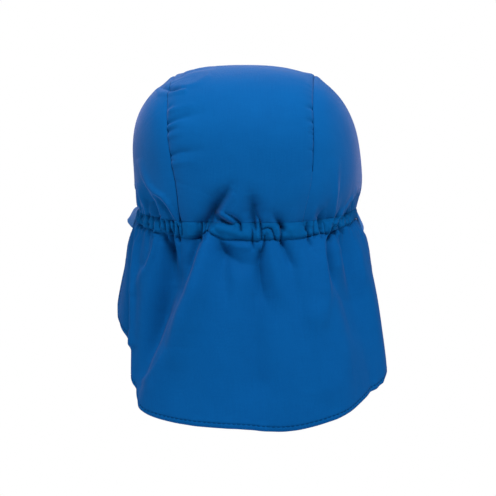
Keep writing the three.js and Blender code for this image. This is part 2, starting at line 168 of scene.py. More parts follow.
archFolds = [  # the loop of cloth beside the nape, and the fullness under it
    stroke([(-21, -8), (-18.8, -7.2), (-15, -9), (-11, -10.6), (-8, -11)],
           (1.9, 1.5, 0.8), (-3.4, -4.0, -2.0, -0.4)),
    stroke([(-18.5, -4), (-13.5, -6.8), (-9.5, -9.3), (-7, -12)], (1.3, 1.2), (0.6, 1.6, 0.5)),
    stroke([(-15, -3.6), (-10.5, -5.2), (-6.8, -8.5), (-5.2, -11), (-4.8, -15)],
           (1.0, 1.3, 0.9), (-0.9, -2.8, -1.8)),
    stroke([(-20, -12.5), (-13, -15), (-5, -17.5), (-1, -18)], (2.4, 3.0, 2.4), (1.2, 1.7, 0.8)),
    stroke([(-38, -12), (-37.5, -18)], (3.6, 3.6), (1.2, 1.2)),
    stroke([(28, -15), (30, -19)], (4.5, 4.5), (0.8, 0.8)),
]

casingPuckers = [
    stroke([(-73.5, 0), (-73, -6)], (0.9, 0.9), (-1.4, -1.0)),
    stroke([(-70.3, -5), (-70, -13)], (0.7, 0.8), (-1.1, -1.3)),
    stroke([(-66, -4), (-65.8, -11)], (0.6, 0.6), (-1.0, -0.9)),
    stroke([(-63.8, -6), (-63.5, -14), (-63.2, -20)], (0.7, 0.9), (-1.4, -1.8, -0.8)),
    stroke([(-61, -4), (-61.2, -18)], (0.8, 0.8), (0.8, 0.9)),
    stroke([(-58.5, -5), (-59, -13)], (0.65, 0.65), (-1.4, -1.0)),
    stroke([(-57, -7), (-57, -17)], (0.7, 0.7), (0.8, 0.8)),
    stroke([(-55.6, -9), (-55.1, -17), (-55.4, -21)], (0.65, 0.8), (-1.6, -1.7, -1.2)),
    stroke([(-53.8, -8), (-53.6, -16)], (0.6, 0.6), (0.9, 0.7)),
    stroke([(-52.3, -9), (-52, -16), (-51.3, -21)], (0.6, 0.8, 1.1), (-1.3, -2.3, -2.6)),
    stroke([(-50.7, -9), (-50.5, -15)], (0.5, 0.5), (0.9, 0.8)),
    stroke([(-49.3, -9), (-49.2, -17)], (0.55, 0.6), (-1.7, -1.5)),
    stroke([(-47.7, -9), (-47.5, -19)], (0.7, 0.7), (1.0, 0.9)),
    stroke([(-46.3, -11), (-46, -18), (-45.6, -22)], (0.6, 0.9), (-1.5, -2.5, -2.2)),
    stroke([(-45.1, -11), (-45, -17)], (0.45, 0.45), (0.7, 0.7)),
    stroke([(-44, -10), (-43.8, -18)], (0.55, 0.6), (-1.2, -1.5)),
    stroke([(-33.6, -10), (-33.2, -20)], (1.0, 1.0), (-1.0, -1.2)),
    stroke([(-31.8, -9.5), (-31.3, -16), (-31, -22)], (0.55, 0.7), (-1.6, -2.6, -2.8)),
    stroke([(-30.3, -10), (-30, -19)], (0.5, 0.5), (0.9, 0.8)),
    stroke([(-28.6, -10), (-28.6, -17), (-28, -21)], (0.5, 0.6), (-1.3, -1.8, -2.2)),
    stroke([(-27.6, -10.5), (-27.7, -18)], (0.4, 0.4), (0.7, 0.6)),
    stroke([(-26.3, -11), (-26.9, -18)], (0.45, 0.5), (-1.3, -1.5)),
    stroke([(2.6, -14), (3.1, -17), (2.6, -22), (3.2, -27)], (0.6, 0.9, 1.2), (-0.8, -1.6, -2.8, -1.2)),
    stroke([(6.3, -9), (6.4, -20)], (1.1, 1.1), (1.1, 0.9)),
    stroke([(5.8, -4), (8.3, -8.5), (8.8, -14), (9, -21)], (0.9, 1.0, 0.8), (-0.7, -2.6, -2.8, -1.8)),
    stroke([(10, -14.2), (13, -13.2), (15.6, -14.2), (16.8, -17), (18, -21)],
           (0.7, 0.7), (-1.6, -2.0, -1.4, -2.4)),
    stroke([(13.4, -15.5), (14.6, -20)], (1.2, 1.4), (1.5, 1.2)),
    stroke([(11.1, -18.5), (10.9, -24), (10, -29), (8, -34)], (0.7, 0.9, 1.8), (-1.8, -2.8, -1.8, -1.0)),
    stroke([(19.8, -13), (19.8, -20)], (1.2, 1.2), (0.9, 0.9)),
    stroke([(22.3, -13), (22, -18), (21.6, -22), (23, -26)], (0.8, 0.7, 1.2), (-2.6, -1.8, -3.0, -1.4)),
    stroke([(39.2, -10), (39.2, -15)], (0.9, 0.7), (-1.4, -2.0)),
    stroke([(40.1, -16.5), (40, -21), (41.5, -25)], (0.7, 0.8, 1.2), (-1.8, -2.8, -1.2)),
    stroke([(43.4, -9), (43.6, -20)], (0.6, 0.6), (-1.2, -1.3)),
    stroke([(45.9, -8), (46, -18)], (0.9, 0.9), (0.8, 0.8)),
    stroke([(48.8, -14), (48.6, -20)], (0.8, 0.8), (-1.8, -2.0)),
    stroke([(51.3, -10), (51.8, -19)], (0.6, 0.6), (-0.9, -1.2)),
    stroke([(54.6, -10), (54.2, -17)], (1.0, 1.0), (0.9, 0.9)),
    stroke([(57.6, -12), (56.4, -16), (55.6, -21)], (0.8, 1.5), (-1.6, -2.8, -3.2)),
    stroke([(60.2, -8), (60.4, -14)], (0.6, 0.6), (-1.3, -1.0)),
    stroke([(61, -12.5), (63, -17)], (0.8, 1.0), (-1.7, -1.0)),
]

flapFurrows = [
    stroke([(-22, -12), (-25.5, -18), (-28.5, -24), (-31.5, -30), (-34.5, -39), (-37, -48), (-40, -57),
            (-45.5, -69), (-48.5, -80), (-50, -92)],
           (4.4, 6.5, 9.5, 12.0), (2.4, 5.6, 6.8, 5.8, 2.8), lean=0.5),
    stroke([(-33, -22), (-36, -31), (-40.5, -42), (-46, -55), (-53, -72), (-58, -90)],
           (3.0, 5.0, 7.5, 8.0), (-3.4, -7.2, -7.6, -5.6, -2.6)),
    stroke([(-51.8, -15), (-51.6, -24), (-50.6, -31), (-50, -38), (-50.5, -52)],
           (1.5, 2.8, 4.2, 7), (-2.6, -6.4, -5.4, -3.4, -1.2)),
    stroke([(-57, -15), (-54.8, -22), (-53, -28)], (1.2, 2.0), (-2.0, -2.2)),
    stroke([(-48.4, -20), (-47.8, -30), (-45.5, -40), (-43, -53)], (1.6, 3.0, 3.6), (0.9, 1.0, 0.5)),
    stroke([(-61.5, -16), (-62, -25), (-63.5, -31), (-67, -39), (-71, -46), (-74.5, -55)],
           (1.6, 2.0, 2.4), (0.9, 1.6, 1.5, 0.8)),
    stroke([(-65, -18), (-66, -29), (-69.5, -38)], (2.0, 2.4), (-1.2, -1.4)),
    stroke([(-56.5, -26), (-57.5, -38), (-58, -55)], (2.4, 4.0), (0.9, 0.4)),
    stroke([(-69, -16), (-73, -23), (-75, -32), (-75.8, -42), (-76, -60), (-76.5, -80), (-77, -90)],
           (1.8, 2.4), (1.0, 2.4, 2.8, 2.4)),
    stroke([(-71.5, -15), (-76, -26), (-78.5, -42), (-79, -62), (-79.5, -80)],
           (1.2, 2.0), (0.0, -1.4, -2.4, -2.4)),
    stroke([(-19, -23), (-17.5, -28), (-12, -33), (-5, -37), (2, -38)],
           (2.8, 5.4, 7.0), (-1.8, -4.0, -3.4, -1.8)),
    stroke([(-16, -21.5), (-7, -25), (0, -26)], (2.6, 3.0), (0.9, 1.1)),
    stroke([(8, -30), (7.5, -38), (8.5, -49), (10.5, -58), (15, -68)],
           (2.6, 4.2, 7), (-2.8, -3.8, -3.0, -1.0)),
    stroke([(14.5, -23), (15.5, -33), (18, -46), (23, -60)], (2.4, 4.5), (1.0, 1.1, 0.4)),
    stroke([(23, -24), (25, -29), (27.5, -35), (32, -40)], (2.0, 4.2), (-2.6, -2.2, -0.9)),
    stroke([(33, -25), (36, -40)], (4, 5), (0.7, 0.5)),
    stroke([(47.5, -19), (50, -31), (51.6, -44), (51.8, -58), (49.5, -72)],
           (4.0, 5.5, 7.5), (0.9, 3.2, 3.2, 1.4), lean=-0.3),
    stroke([(57, -16), (55.6, -22), (56, -31), (58, -40), (61.5, -49), (67, -62), (70, -80)],
           (1.9, 3.8, 5.5, 8, 10), (-2.8, -6.8, -7.2, -5.6, -3.0)),
    stroke([(61, -18), (61.5, -27)], (1.3, 1.8), (0.9, 0.6)),
    stroke([(69, -16), (74, -30), (77, -48)], (1.6, 2.6), (0.5, 1.0, 0.6)),
    stroke([(70, -13), (75.5, -18), (79, -27), (82.5, -37)], (3.0, 4.0), (1.0, 2.0, 1.8, 0.8)),
    stroke([(-71, -9), (-75, -15), (-78, -24), (-80.5, -33)], (3.0, 4.0), (1.0, 2.2, 1.8, 0.6)),
    stroke([(4, -62), (5, -88), (8, -115)], (10, 12), (-1.2, -2.0)),
    stroke([(45, -72), (47, -98), (53, -118)], (9, 10), (2.0, 2.0)),
    stroke([(-57, -50), (-59, -68), (-62, -92), (-67, -109)], (6, 7, 5), (-1.6, -3.0, -3.0, -1.8)),
    stroke([(-57, -96), (-62, -105), (-69, -114)], (1.8, 1.8), (0.6, 0.9), lean=0.5),
]

seamTucks = [  # short puckers of the centre panel beside its seams
    stroke([(-54, 57), (-42, 61), (-28, 64)], (1.4, 5.0), (-1.6, -1.7, -0.5)),
    stroke([(-54, 51.5), (-45, 53.8)], (1.0, 2.0), (-1.4, -0.2)),
    stroke([(-52, 65), (-38, 68.5)], (1.4, 2.0), (0.9, 0.3)),
    stroke([(-54, 54.2), (-45, 57.8)], (0.8, 1.4), (0.8, 0.1)),
    stroke([(-53.5, 47.5), (-43, 50)], (1.1, 1.8), (0.7, 0.1)),
    stroke([(-54, 34.6), (-45, 37), (-30, 38)], (1.4, 4.6), (-1.4, -1.2, -0.4)),
    stroke([(-53.5, 31.5), (-48.5, 31.6)], (0.7, 0.9), (-0.9, -0.1)),
    stroke([(-53, 29), (-38, 31)], (1.8, 2.6), (0.7, 0.2)),
    stroke([(-53.5, 67), (-48.5, 70.5)], (0.9, 1.3), (-0.8, -0.1)),
    stroke([(46.8, 66), (42, 67.5), (37, 67)], (0.9, 1.4), (-1.6, -1.1, -0.1)),
    stroke([(46.5, 62.5), (42.5, 63)], (0.7, 0.9), (-0.8, -0.1)),
    stroke([(46, 57.5), (38, 59)], (1.0, 1.8), (-1.3, -0.2)),
    stroke([(45.6, 52.8), (40.5, 53)], (0.8, 1.1), (-1.2, -0.1)),
    stroke([(45.4, 49.6), (39, 49.2)], (0.8, 1.4), (-1.1, -0.1)),
    stroke([(45.2, 46), (40.5, 46.6)], (0.7, 0.9), (-1.0, -0.1)),
    stroke([(44.8, 38), (39.5, 39)], (0.9, 1.3), (-0.7, -0.1)),
]

strokes = crownFolds + topFolds + archFolds + casingPuckers + flapFurrows

# how far forward strokes reach, and the heights and depths over which those near the top
# fade out, before the cloth turns to the front
strokeLimits = {"front": -25, "high": (50, 70), "deep": (-8, 22)}


def alongPath(values, place):
    return np.interp(place, np.linspace(0, 1, len(values)), values)


def foldMove(points, rows):
    across, up = seenAt(points)
    atBack = points[..., 1] > strokeLimits["front"]
    move = np.zeros(points.shape[:-1])
    for row in rows:
        path = row["path"]
        steps = np.hypot(*np.diff(path, axis=0).T)
        ends = np.concatenate([[0], np.cumsum(steps)]) / steps.sum()
        reach = 2.6 * max(row["width"]) * (1 + abs(row["lean"]))
        low, high = path.min(axis=0) - reach, path.max(axis=0) + reach
        near = (across > low[0]) & (across < high[0]) & (up > low[1]) & (up < high[1]) & atBack
        x, y = across[near], up[near]
        if not x.size:
            continue
        closest, place, side = np.full(x.shape, 1e9), np.zeros(x.shape), np.zeros(x.shape)
        for k in range(len(path) - 1):
            line = path[k + 1] - path[k]
            share = np.clip(((x - path[k, 0]) * line[0] + (y - path[k, 1]) * line[1]) / (line @ line), 0, 1)
            offX, offY = x - path[k, 0] - share * line[0], y - path[k, 1] - share * line[1]
            distance = np.hypot(offX, offY)
            turned = (line[0] * offY - line[1] * offX) / np.hypot(*line) / np.maximum(distance, 1e-6)
            nearer = distance < closest
            closest = np.where(nearer, distance, closest)
            place = np.where(nearer, blend(ends[k], ends[k + 1], share), place)
            side = np.where(nearer, turned, side)
        depth = alongPath(row["depth"], place)
        width = alongPath(row["width"], place) * (1 + row["lean"] * side)
        power = np.where(depth < 0, 1.5, 2.0)  # furrows are sharper than ridges
        move[near] += depth * np.exp(-((closest / width) ** power))
    over = ease(points[..., 2], *strokeLimits["high"])
    return move * (1 - over * (1 - ease(points[..., 1], *strokeLimits["deep"])))


# The crown's dome and the rim round its opening

crown = {
    "width": 149.6,
    "back": 88.0,
    "front": 84.0,
    "top": 94.5,
    "widestAt": 27.0,
    "tuck": 62.0,
    "boxiness": 2.6,
    "napeDrop": 5.0,
    "napeFlatness": 4.0,
    "lean": 1.3,
    "seamPull": 1.1,  # how far the cloth is drawn in along a panel seam
    "seamPullWidth": 5.0,
    "seamRise": 1.6,  # and how far it stands up over the top of the head
    "seamRiseTurn": 24.0,
    "seamGroove": 1.2,
    "seamGrooveWidth": 0.8,
    "seamGap": 0.1,
    "seamShaded": 0.22,  # a seam that shows less than this gets no painted shade
    "topArc": 120.0,  # along the seam, from the top of the head to the nape
    "puckersFrom": (4, 14),  # heights above the rim over which the seam's puckers begin
    "tucksFrom": (0, 0.8),  # and distances from the seam over which its tucks do
    "gatherTurn": 105,
    "gatherHigh": 15,
    "slack": 0.3,
    "slackTop": 0.4,  # the share of it left at the top, and the heights between
    "slackHigh": (60, 10),
    "slackWave": 42,
    "slackSeed": 3,
    "wall": 0.8,
}

# half the centre panel's width, as a share of the crown's half width;
# turn runs round the side view: 0 at the back, 90 at the top, 180 at the front
seamLine = [
    {"turn": -34, "half": 0.5},
    {"turn": -26, "half": 0.517},
    {"turn": -14, "half": 0.556},
    {"turn": -4, "half": 0.588},
    {"turn": 7, "half": 0.616},
    {"turn": 22, "half": 0.634},
    {"turn": 40, "half": 0.633},
    {"turn": 90, "half": 0.613},
    {"turn": 140, "half": 0.62},
    {"turn": 170, "half": 0.594},
    {"turn": 205, "half": 0.554},
]

leanCurve = [
    {"height": -0.1, "shift": 0},
    {"height": 0, "shift": -0.2},
    {"height": 0.2, "shift": -0.9},
    {"height": 0.45, "shift": 0},
    {"height": 0.7, "shift": 1},
    {"height": 1, "shift": 1},
]

# small even gathers at the sides: from and to in degrees from the nape
fineGathers = {
    "from": 48.0,
    "to": 103.0,
    "pitch": 4.3,
    "depth": 1.3,
    "width": 1.1,
    "up": 10,  # how far they run up the crown
    "down": 11,  # and down the flap
    "widen": 1.6,  # what they widen by over each stretch, for so many stretches at most
    "stretch": 12.0,
    "stretches": 2.5,
    "letOut": 0.22,  # how far the cloth stands out beside each, and over what width
    "letOutWidth": 2.6,
    "seed": 5,
}


def sideGathers():
    rows = []
    rng = np.random.default_rng(fineGathers["seed"])
    for side in (-1, 1):
        turn = fineGathers["from"]
        while turn < fineGathers["to"]:
            rows.append({
                "turn": side * turn,
                "depth": fineGathers["depth"] * rng.uniform(0.6, 1.3),
                "width": fineGathers["width"] * rng.uniform(0.8, 1.3),
                "up": fineGathers["up"] * rng.uniform(0.6, 1.7),
                "down": fineGathers["down"] * rng.uniform(0.6, 1.7),
                "tilt": side * rng.uniform(0.0, 0.15),
            })
            turn += fineGathers["pitch"] * rng.uniform(0.75, 1.25)
    return rows


gatherRows = sideGathers()


def boxy(share):
    return np.abs(share) ** crown["boxiness"]


def domeSizes(offset):
    wide = np.full(offset.shape[:-1], crown["width"] / 2)
    deep = np.where(offset[..., 1] > 0, crown["back"], crown["front"])
    high = np.where(offset[..., 2] > 0, crown["top"] - crown["widestAt"], crown["tuck"])
    return np.stack([wide, deep, high], axis=-1)


def domeNormal(offset):
    size = domeSizes(offset)
    return unit(np.sign(offset) * np.abs(offset / size) ** (crown["boxiness"] - 1) / size)


def ontoDome(direction):
    total = np.sum(boxy(direction / domeSizes(direction)), axis=-1, keepdims=True)
    return direction * total ** (-1 / crown["boxiness"])


def widthLeft(share, height=0.0):  # what the dome's section keeps at a share of its width
    return np.maximum(1 - boxy(share) - boxy(height), 1e-6) ** (1 / crown["boxiness"])


rimSideHalf = crown["width"] / 2 * widthLeft(0, crown["widestAt"] / crown["tuck"])


def rimHeight(x, atBack):
    drop = crown["napeDrop"] * np.maximum(0, 1 - np.abs(x / rimSideHalf) ** crown["napeFlatness"])
    return np.where(atBack, -drop, 0.0)


def rimPoint(turn):  # turn in degrees from the nape, + to the wearer's left
    sine, cosine = np.sin(np.radians(turn)), np.cos(np.radians(turn))
    deep = np.where(cosine > 0, crown["back"], crown["front"])
    plan = (boxy(2 * sine / crown["width"]) + boxy(cosine / deep)) ** (-1 / crown["boxiness"])
    z = np.zeros_like(sine)
    for _ in range(passes):
        shrink = widthLeft(0, (z - crown["widestAt"]) / crown["tuck"])
        x, y = plan * shrink * sine, plan * shrink * cosine
        z = rimHeight(x, cosine > 0)
    return np.stack([x, y, z], axis=-1)


def fromCentre(point):
    return point - np.array([0, 0, crown["widestAt"]])


def rimOutward(turn):
    normal = domeNormal(fromCentre(rimPoint(turn)))
    normal[..., 2] = 0
    return unit(normal)


def seamHalf(turn):
    return tableCurve(seamLine, "turn", "half", turn) * crown["width"] / 2


def profileOffset(side, turn):  # a point of the dome, side millimetres from the middle
    y, z = np.cos(np.radians(turn)), np.sin(np.radians(turn))
    deep = np.where(y > 0, crown["back"], crown["front"])
    high = np.where(z > 0, crown["top"] - crown["widestAt"], crown["tuck"])
    reach = (boxy(y / deep) + boxy(z / high)) ** (-1 / crown["boxiness"])
    reach = reach * widthLeft(2 * side / crown["width"])
    return np.stack([side + 0 * y, reach * y, reach * z], axis=-1)


def rimTurn(side, atBack):
    z = rimHeight(side, atBack) - crown["widestAt"]
    deep = crown["back"] if atBack else crown["front"]
    y = deep * widthLeft(2 * side / crown["width"], z / crown["tuck"])
    turn = np.degrees(np.arctan2(z, y))
    return turn if atBack else 180 - turn


def seamEnd(atBack):
    turn = np.array(0.0 if atBack else 180.0)
    for _ in range(passes):
        turn = rimTurn(seamHalf(turn), atBack)
    return turn


seamEnds = (seamEnd(True), seamEnd(False))


# a seam shows less above the left tuck, and low down on the right: by these shares, over
# these turns of the side view
seamFades = {"left": 0.75, "leftFrom": (34.5, 38.5), "leftTo": (75, 60), "right": 0.8, "rightFrom": (10, -1)}


def seamFade(side, turn):
    left = 1 - seamFades["left"] * ease(turn, *seamFades["leftFrom"]) * ease(turn, *seamFades["leftTo"])
    right = 1 - seamFades["right"] * ease(turn, *seamFades["rightFrom"])
    return np.where(side > 0, left, right)


def seamClear(side, turn):  # half the slit between two panels
    return crown["seamGap"] / 2 * seamFade(side, turn)


def seamOffset(share, side):
    turn = blend(seamEnds[0], seamEnds[1], share)
    return profileOffset(side * (seamHalf(turn) + seamClear(side, turn)), turn)


def gatherMove(turn, distance, way):  # how far the gathers draw the cloth in, and let it out between
    move = np.zeros(np.broadcast(turn, distance).shape)
    for row in gatherRows:
        reach = row[way]
        stretches = np.minimum(distance / fineGathers["stretch"], fineGathers["stretches"])
        width = row["width"] * (1 + fineGathers["widen"] * stretches)
        centre = row["turn"] + row["tilt"] * distance * (1 if way == "up" else -1)
        faded = row["depth"] * bell(distance, reach)
        letOut = fineGathers["letOut"] * bell(turn - centre, fineGathers["letOutWidth"] * width)
        move -= faded * (bell(turn - centre, width) - letOut)
    return move


# short puckers where the panels are sewn together, along each seam
seamPuckers = {
    "from": -40.0,
    "to": 260.0,
    "pitch": 6.5,
    "reach": 8.0,
    "width": 1.5,
    "depth": 0.2,
    "seed": 21,
}


def seamPuckerMove(along, away, side):
    rng = np.random.default_rng(seamPuckers["seed"] + side)
    move = np.zeros_like(along)
    place = seamPuckers["from"]
    while place < seamPuckers["to"]:
        depth = seamPuckers["depth"] * rng.uniform(0.1, 1.6)
        reach = seamPuckers["reach"] * rng.uniform(0.5, 1.7)
        slope = rng.uniform(-0.25, 0.55)
        width = seamPuckers["width"] * rng.uniform(0.8, 1.5)
        centre = place + slope * np.abs(away)
        inner = np.where(away < 0, 1.0, 0.45)  # the centre panel puckers more than the side panels
        move -= depth * inner * bell(along - centre, width) * np.exp(-np.abs(away) / reach)
        place += seamPuckers["pitch"] * rng.uniform(0.5, 1.6)
    return move


def dressCrown(offset, drawn=True):
    point = offset + np.array([0, 0, crown["widestAt"]])
    x, y, z = point[..., 0], point[..., 1], point[..., 2]
    turn = np.degrees(np.arctan2(x, y))
    fromTop = np.degrees(np.arctan2(offset[..., 1], offset[..., 2]))
    atBack = y > 0
    aboveRim = np.maximum(0, z - rimHeight(x, atBack))
    profileTurn = 90 - fromTop
    away = np.abs(x) - seamHalf(profileTurn)
    rise = (crown["seamPull"] + crown["seamRise"]) * bell(fromTop, crown["seamRiseTurn"])
    pull = crown["seamPull"] - rise
    move = -pull * bell(away, crown["seamPullWidth"])
    groove = crown["seamGroove"] * np.exp(-np.abs(away) / crown["seamGrooveWidth"])
    move -= groove * seamFade(x, profileTurn)
    along = fromTop / 90 * crown["topArc"]
    for side in (-1, 1):
        puckers = np.where(np.sign(x) == side, seamPuckerMove(along, away, side), 0)
        move += puckers * ease(aboveRim, *crown["puckersFrom"])
    move += np.where(np.abs(turn) < crown["gatherTurn"], gatherMove(turn, aboveRim, "up"), 0)
    slack = slackWaves(point, crown["slackWave"], crown["slackSeed"])
    move += crown["slack"] * slack * blend(crown["slackTop"], 1, ease(z, *crown["slackHigh"]))
    point = point + 0
    point[..., 0] += crown["lean"] * tableCurve(leanCurve, "height", "shift", z / crown["top"])
    if drawn:
        move += foldMove(point, strokes) + foldMove(point, seamTucks) * ease(-away, *crown["tucksFrom"])
    outward = domeNormal(offset)
    outward[..., 2] *= np.minimum(1, aboveRim / crown["gatherHigh"])
    return point + outward * move[..., None]


# The narrow casing round the nape, with elastic inside it

casing = {
    "turn": 104.0,
    "height": 11.5,
    "sideHeight": 7.0,
    "perDegree": 1.25,  # cloth to a degree of turn, in millimetres
    "puff": 0.9,  # how far the band stands out above its row of stitches
    "puffFrom": (-0.25, 0.55),  # shares of its height over which it comes out
    "puffTurn": 84,  # past this turn it flattens towards its ends
    "groove": 0.8,  # and how deep the stitches draw it in
    "grooveHigh": 1.3,
    "lineWave": 0.55,  # how far the stitched line wanders up and down
    "lineWaveLength": 13,
    "lineSeed": 12,
    "slackBack": 0.2,
    "slackSide": 0.5,
    "sideTurns": (30, 60),
    "slackWave": 4.4,
    "slackSeed": 31,
    "wall": 0.8,
}

# where the flap's big fold lifts the casing's lower line
lineLift = [
    {"turn": -104, "rise": 0},
    {"turn": 3, "rise": 0},
    {"turn": 8, "rise": 0.9},
    {"turn": 12, "rise": 3.2},
    {"turn": 14.5, "rise": 5.2},
    {"turn": 16, "rise": 4.6},
    {"turn": 18, "rise": 1.0},
    {"turn": 20, "rise": 0},
    {"turn": 104, "rise": 0},
]


def casingDeep(turn):
    toSide = np.sin(np.radians(np.minimum(np.abs(turn), 90))) ** 2
    return blend(casing["height"], casing["sideHeight"], toSide)


def lowLine(turn):  # how far the casing's lower line strays from its even course
    flat = np.stack([turn * casing["perDegree"], 0 * turn, 0 * turn], axis=-1)
    wander = casing["lineWave"] * slackWaves(flat, casing["lineWaveLength"], casing["lineSeed"], count=6)
    wander = wander * ease(np.abs(turn), casing["turn"], casing["turn"] - 6)
    return wander + tableCurve(lineLift, "turn", "rise", turn)


def rimDressed(turn):
    return dressCrown(fromCentre(rimPoint(turn)), drawn=False)


def casingPoint(turn, v):
    deep = casingDeep(turn)
    flat = np.stack([turn * casing["perDegree"], v * 6, 0 * turn], axis=-1)
    side = ease(np.abs(turn), *casing["sideTurns"])
    sunk = (casing["puff"] + casing["groove"]) * bell((1 - v) * deep, casing["grooveHigh"])
    out = casing["puff"] * ease(v, *casing["puffFrom"]) - sunk
    out = out * ease(np.abs(turn), casing["turn"], casing["puffTurn"])
    slack = slackWaves(flat, casing["slackWave"], casing["slackSeed"], count=10)
    out += blend(casing["slackBack"], casing["slackSide"], side) * slack * np.sin(math.pi * v) ** 0.5
    point = rimDressed(turn) + rimOutward(turn) * out[..., None]
    point[..., 2] = rimPoint(turn)[..., 2] + v * lowLine(turn) - v * deep
    return point + rimOutward(turn) * foldMove(point, strokes)[..., None]


# The neck flap

flap = {
    "length": 117.0,
    "flare": 21.0,
    "flareStart": 0.04,
    "perDegree": 1.6,  # cloth to a degree of turn, in millimetres, and near its front edges
    "edgePerDegree": 1.35,
    "groove": 1.2,  # how far down the casing's groove, gathers and lower line show in it
    "gathered": 24,
    "lineShows": 10,
    "slack": 0.55,
    "slackFrom": (4, 30),
    "slackWave": 34,
    "slackSeed": 8,
    "wall": 0.8,
    "hem": 2.7,  # from the edge to the hem's stitches
    "hemWall": 1.5,
    "hemWave": 0.35,
    "hemWaveHigh": 7,
    "hemWaveLength": 9,
    "hemSeed": 14,
    "hemDent": 0.3,  # how far the stitches draw the hem in
    "hemRoll": 0.6,  # and its edge turns under
}

# the hem: turn as for the gathers, out and along as shares of the flare, length as a share
# of the flap's, early for how soon the flap spreads below the casing
hemCurve = [
    {"turn": -104, "out": 0.62, "along": -0.3, "length": 0.4, "early": 0.42},
    {"turn": -100, "out": 0.68, "along": -0.27, "length": 0.53, "early": 0.42},
    {"turn": -90, "out": 0.8, "along": -0.2, "length": 0.66, "early": 0.4},
    {"turn": -78, "out": 0.96, "along": -0.14, "length": 0.75, "early": 0.4},
    {"turn": -65, "out": 1.14, "along": -0.1, "length": 0.86, "early": 0.46},
    {"turn": -58, "out": 1.09, "along": -0.2, "length": 0.886, "early": 0.52},
    {"turn": -50, "out": 0.93, "along": -0.28, "length": 0.9, "early": 0.6},
    {"turn": -35, "out": 0.97, "along": -0.16, "length": 0.965, "early": 0.62},
    {"turn": -18, "out": 1.0, "along": -0.1, "length": 1.012, "early": 0.62},
    {"turn": 0, "out": 1.0, "along": 0.0, "length": 0.995, "early": 0.62},
    {"turn": 18, "out": 1.0, "along": 0.08, "length": 0.982, "early": 0.62},
    {"turn": 32, "out": 0.87, "along": 0.08, "length": 0.964, "early": 0.62},
    {"turn": 39, "out": 0.72, "along": 0.05, "length": 0.934, "early": 0.6},
    {"turn": 46, "out": 0.67, "along": 0.0, "length": 0.888, "early": 0.58},
    {"turn": 58, "out": 0.22, "along": -0.1, "length": 0.8, "early": 0.55},
    {"turn": 70, "out": 0.18, "along": 0.0, "length": 0.72, "early": 0.5},
    {"turn": 82, "out": 0.42, "along": 0.1, "length": 0.672, "early": 0.52},
    {"turn": 93, "out": 0.67, "along": 0.2, "length": 0.622, "early": 0.54},
    {"turn": 101, "out": 0.82, "along": 0.34, "length": 0.565, "early": 0.56},
    {"turn": 104, "out": 0.85, "along": 0.38, "length": 0.49, "early": 0.56},
]

# long folds: turn at the casing and at the hem, width in degrees there, how far the ridge
# stands out in millimetres, and the share of the flap where it is strongest
flapFolds = [
    {"top": -52, "hem": -60, "width": 5, "out": -5.5, "peak": 0.16},
    {"top": -42, "hem": -36, "width": 6, "out": 3.6, "peak": 0.45},
    {"top": -8, "hem": -5, "width": 6, "out": -3.4, "peak": 0.35},
    {"top": 13, "hem": 37, "width": 6, "out": 5.0, "peak": 0.42},
    {"top": 27, "hem": 46, "width": 6, "out": -6.7, "peak": 0.4},
    {"top": 35, "hem": 40, "width": 4, "out": -4.2, "peak": 0.12},
    {"top": 61, "hem": 54, "width": 4.5, "out": 4.2, "peak": 0.45},
    {"top": 84, "hem": 76, "width": 6, "out": -3.8, "peak": 0.4},
    {"top": 9, "hem": -2, "width": 3.0, "out": -2.2, "peak": 0.1},
    {"top": -20, "hem": -30, "width": 2.6, "out": -1.6, "peak": 0.13},
    {"top": -30, "hem": -28, "width": 3.0, "out": 1.2, "peak": 0.25},
]


def flapPoint(turn, v):
    length = tableCurve(hemCurve, "turn", "length", turn) * flap["length"]
    early = tableCurve(hemCurve, "turn", "early", turn)
    out = tableCurve(hemCurve, "turn", "out", turn) * flap["flare"]
    start = flap["flareStart"]
    spread = ((v + start) ** early - start ** early) / ((1 + start) ** early - start ** early)
    move = out * spread
    for row in flapFolds:
        centre = blend(row["top"], row["hem"], v)
        swell = v / row["peak"] * np.exp(1 - v / row["peak"])
        move = move + row["out"] * bell(turn - centre, row["width"]) * swell
    rim = rimPoint(turn)
    outward = rimOutward(turn)
    along = np.stack([outward[..., 1], -outward[..., 0], 0 * turn], axis=-1)
    down = v * length
    move = move + gatherMove(turn, down, "down")
    seam = rimDressed(turn) - rim - outward * gatherMove(turn, 0 * turn, "up")[..., None]
    seam[..., 2] = 0
    groove = casing["groove"] * np.exp(-down / flap["groove"])
    point = rim + seam * bell(down, flap["gathered"])[..., None] + outward * (move - groove)[..., None]
    drift = tableCurve(hemCurve, "turn", "along", turn) * flap["flare"] * v * v
    point = point + along * drift[..., None]
    low = lowLine(turn) * np.exp(-down / flap["lineShows"])
    point[..., 2] = rim[..., 2] - casingDeep(turn) + low - down
    waves = slackWaves(point * np.array([1, 1, 0.35]), flap["slackWave"], flap["slackSeed"])
    point = point + outward * (flap["slack"] * waves * ease(down, *flap["slackFrom"]))[..., None]
    flat = np.stack([turn * flap["perDegree"], 0 * turn, 0 * turn], axis=-1)
    ripple = flap["hemWave"] * slackWaves(flat, flap["hemWaveLength"], flap["hemSeed"], count=7)
    ripple = ripple * ease(length - down, flap["hemWaveHigh"], 0)
    return point + outward * (ripple + foldMove(point, strokes))[..., None]


# The soft peak

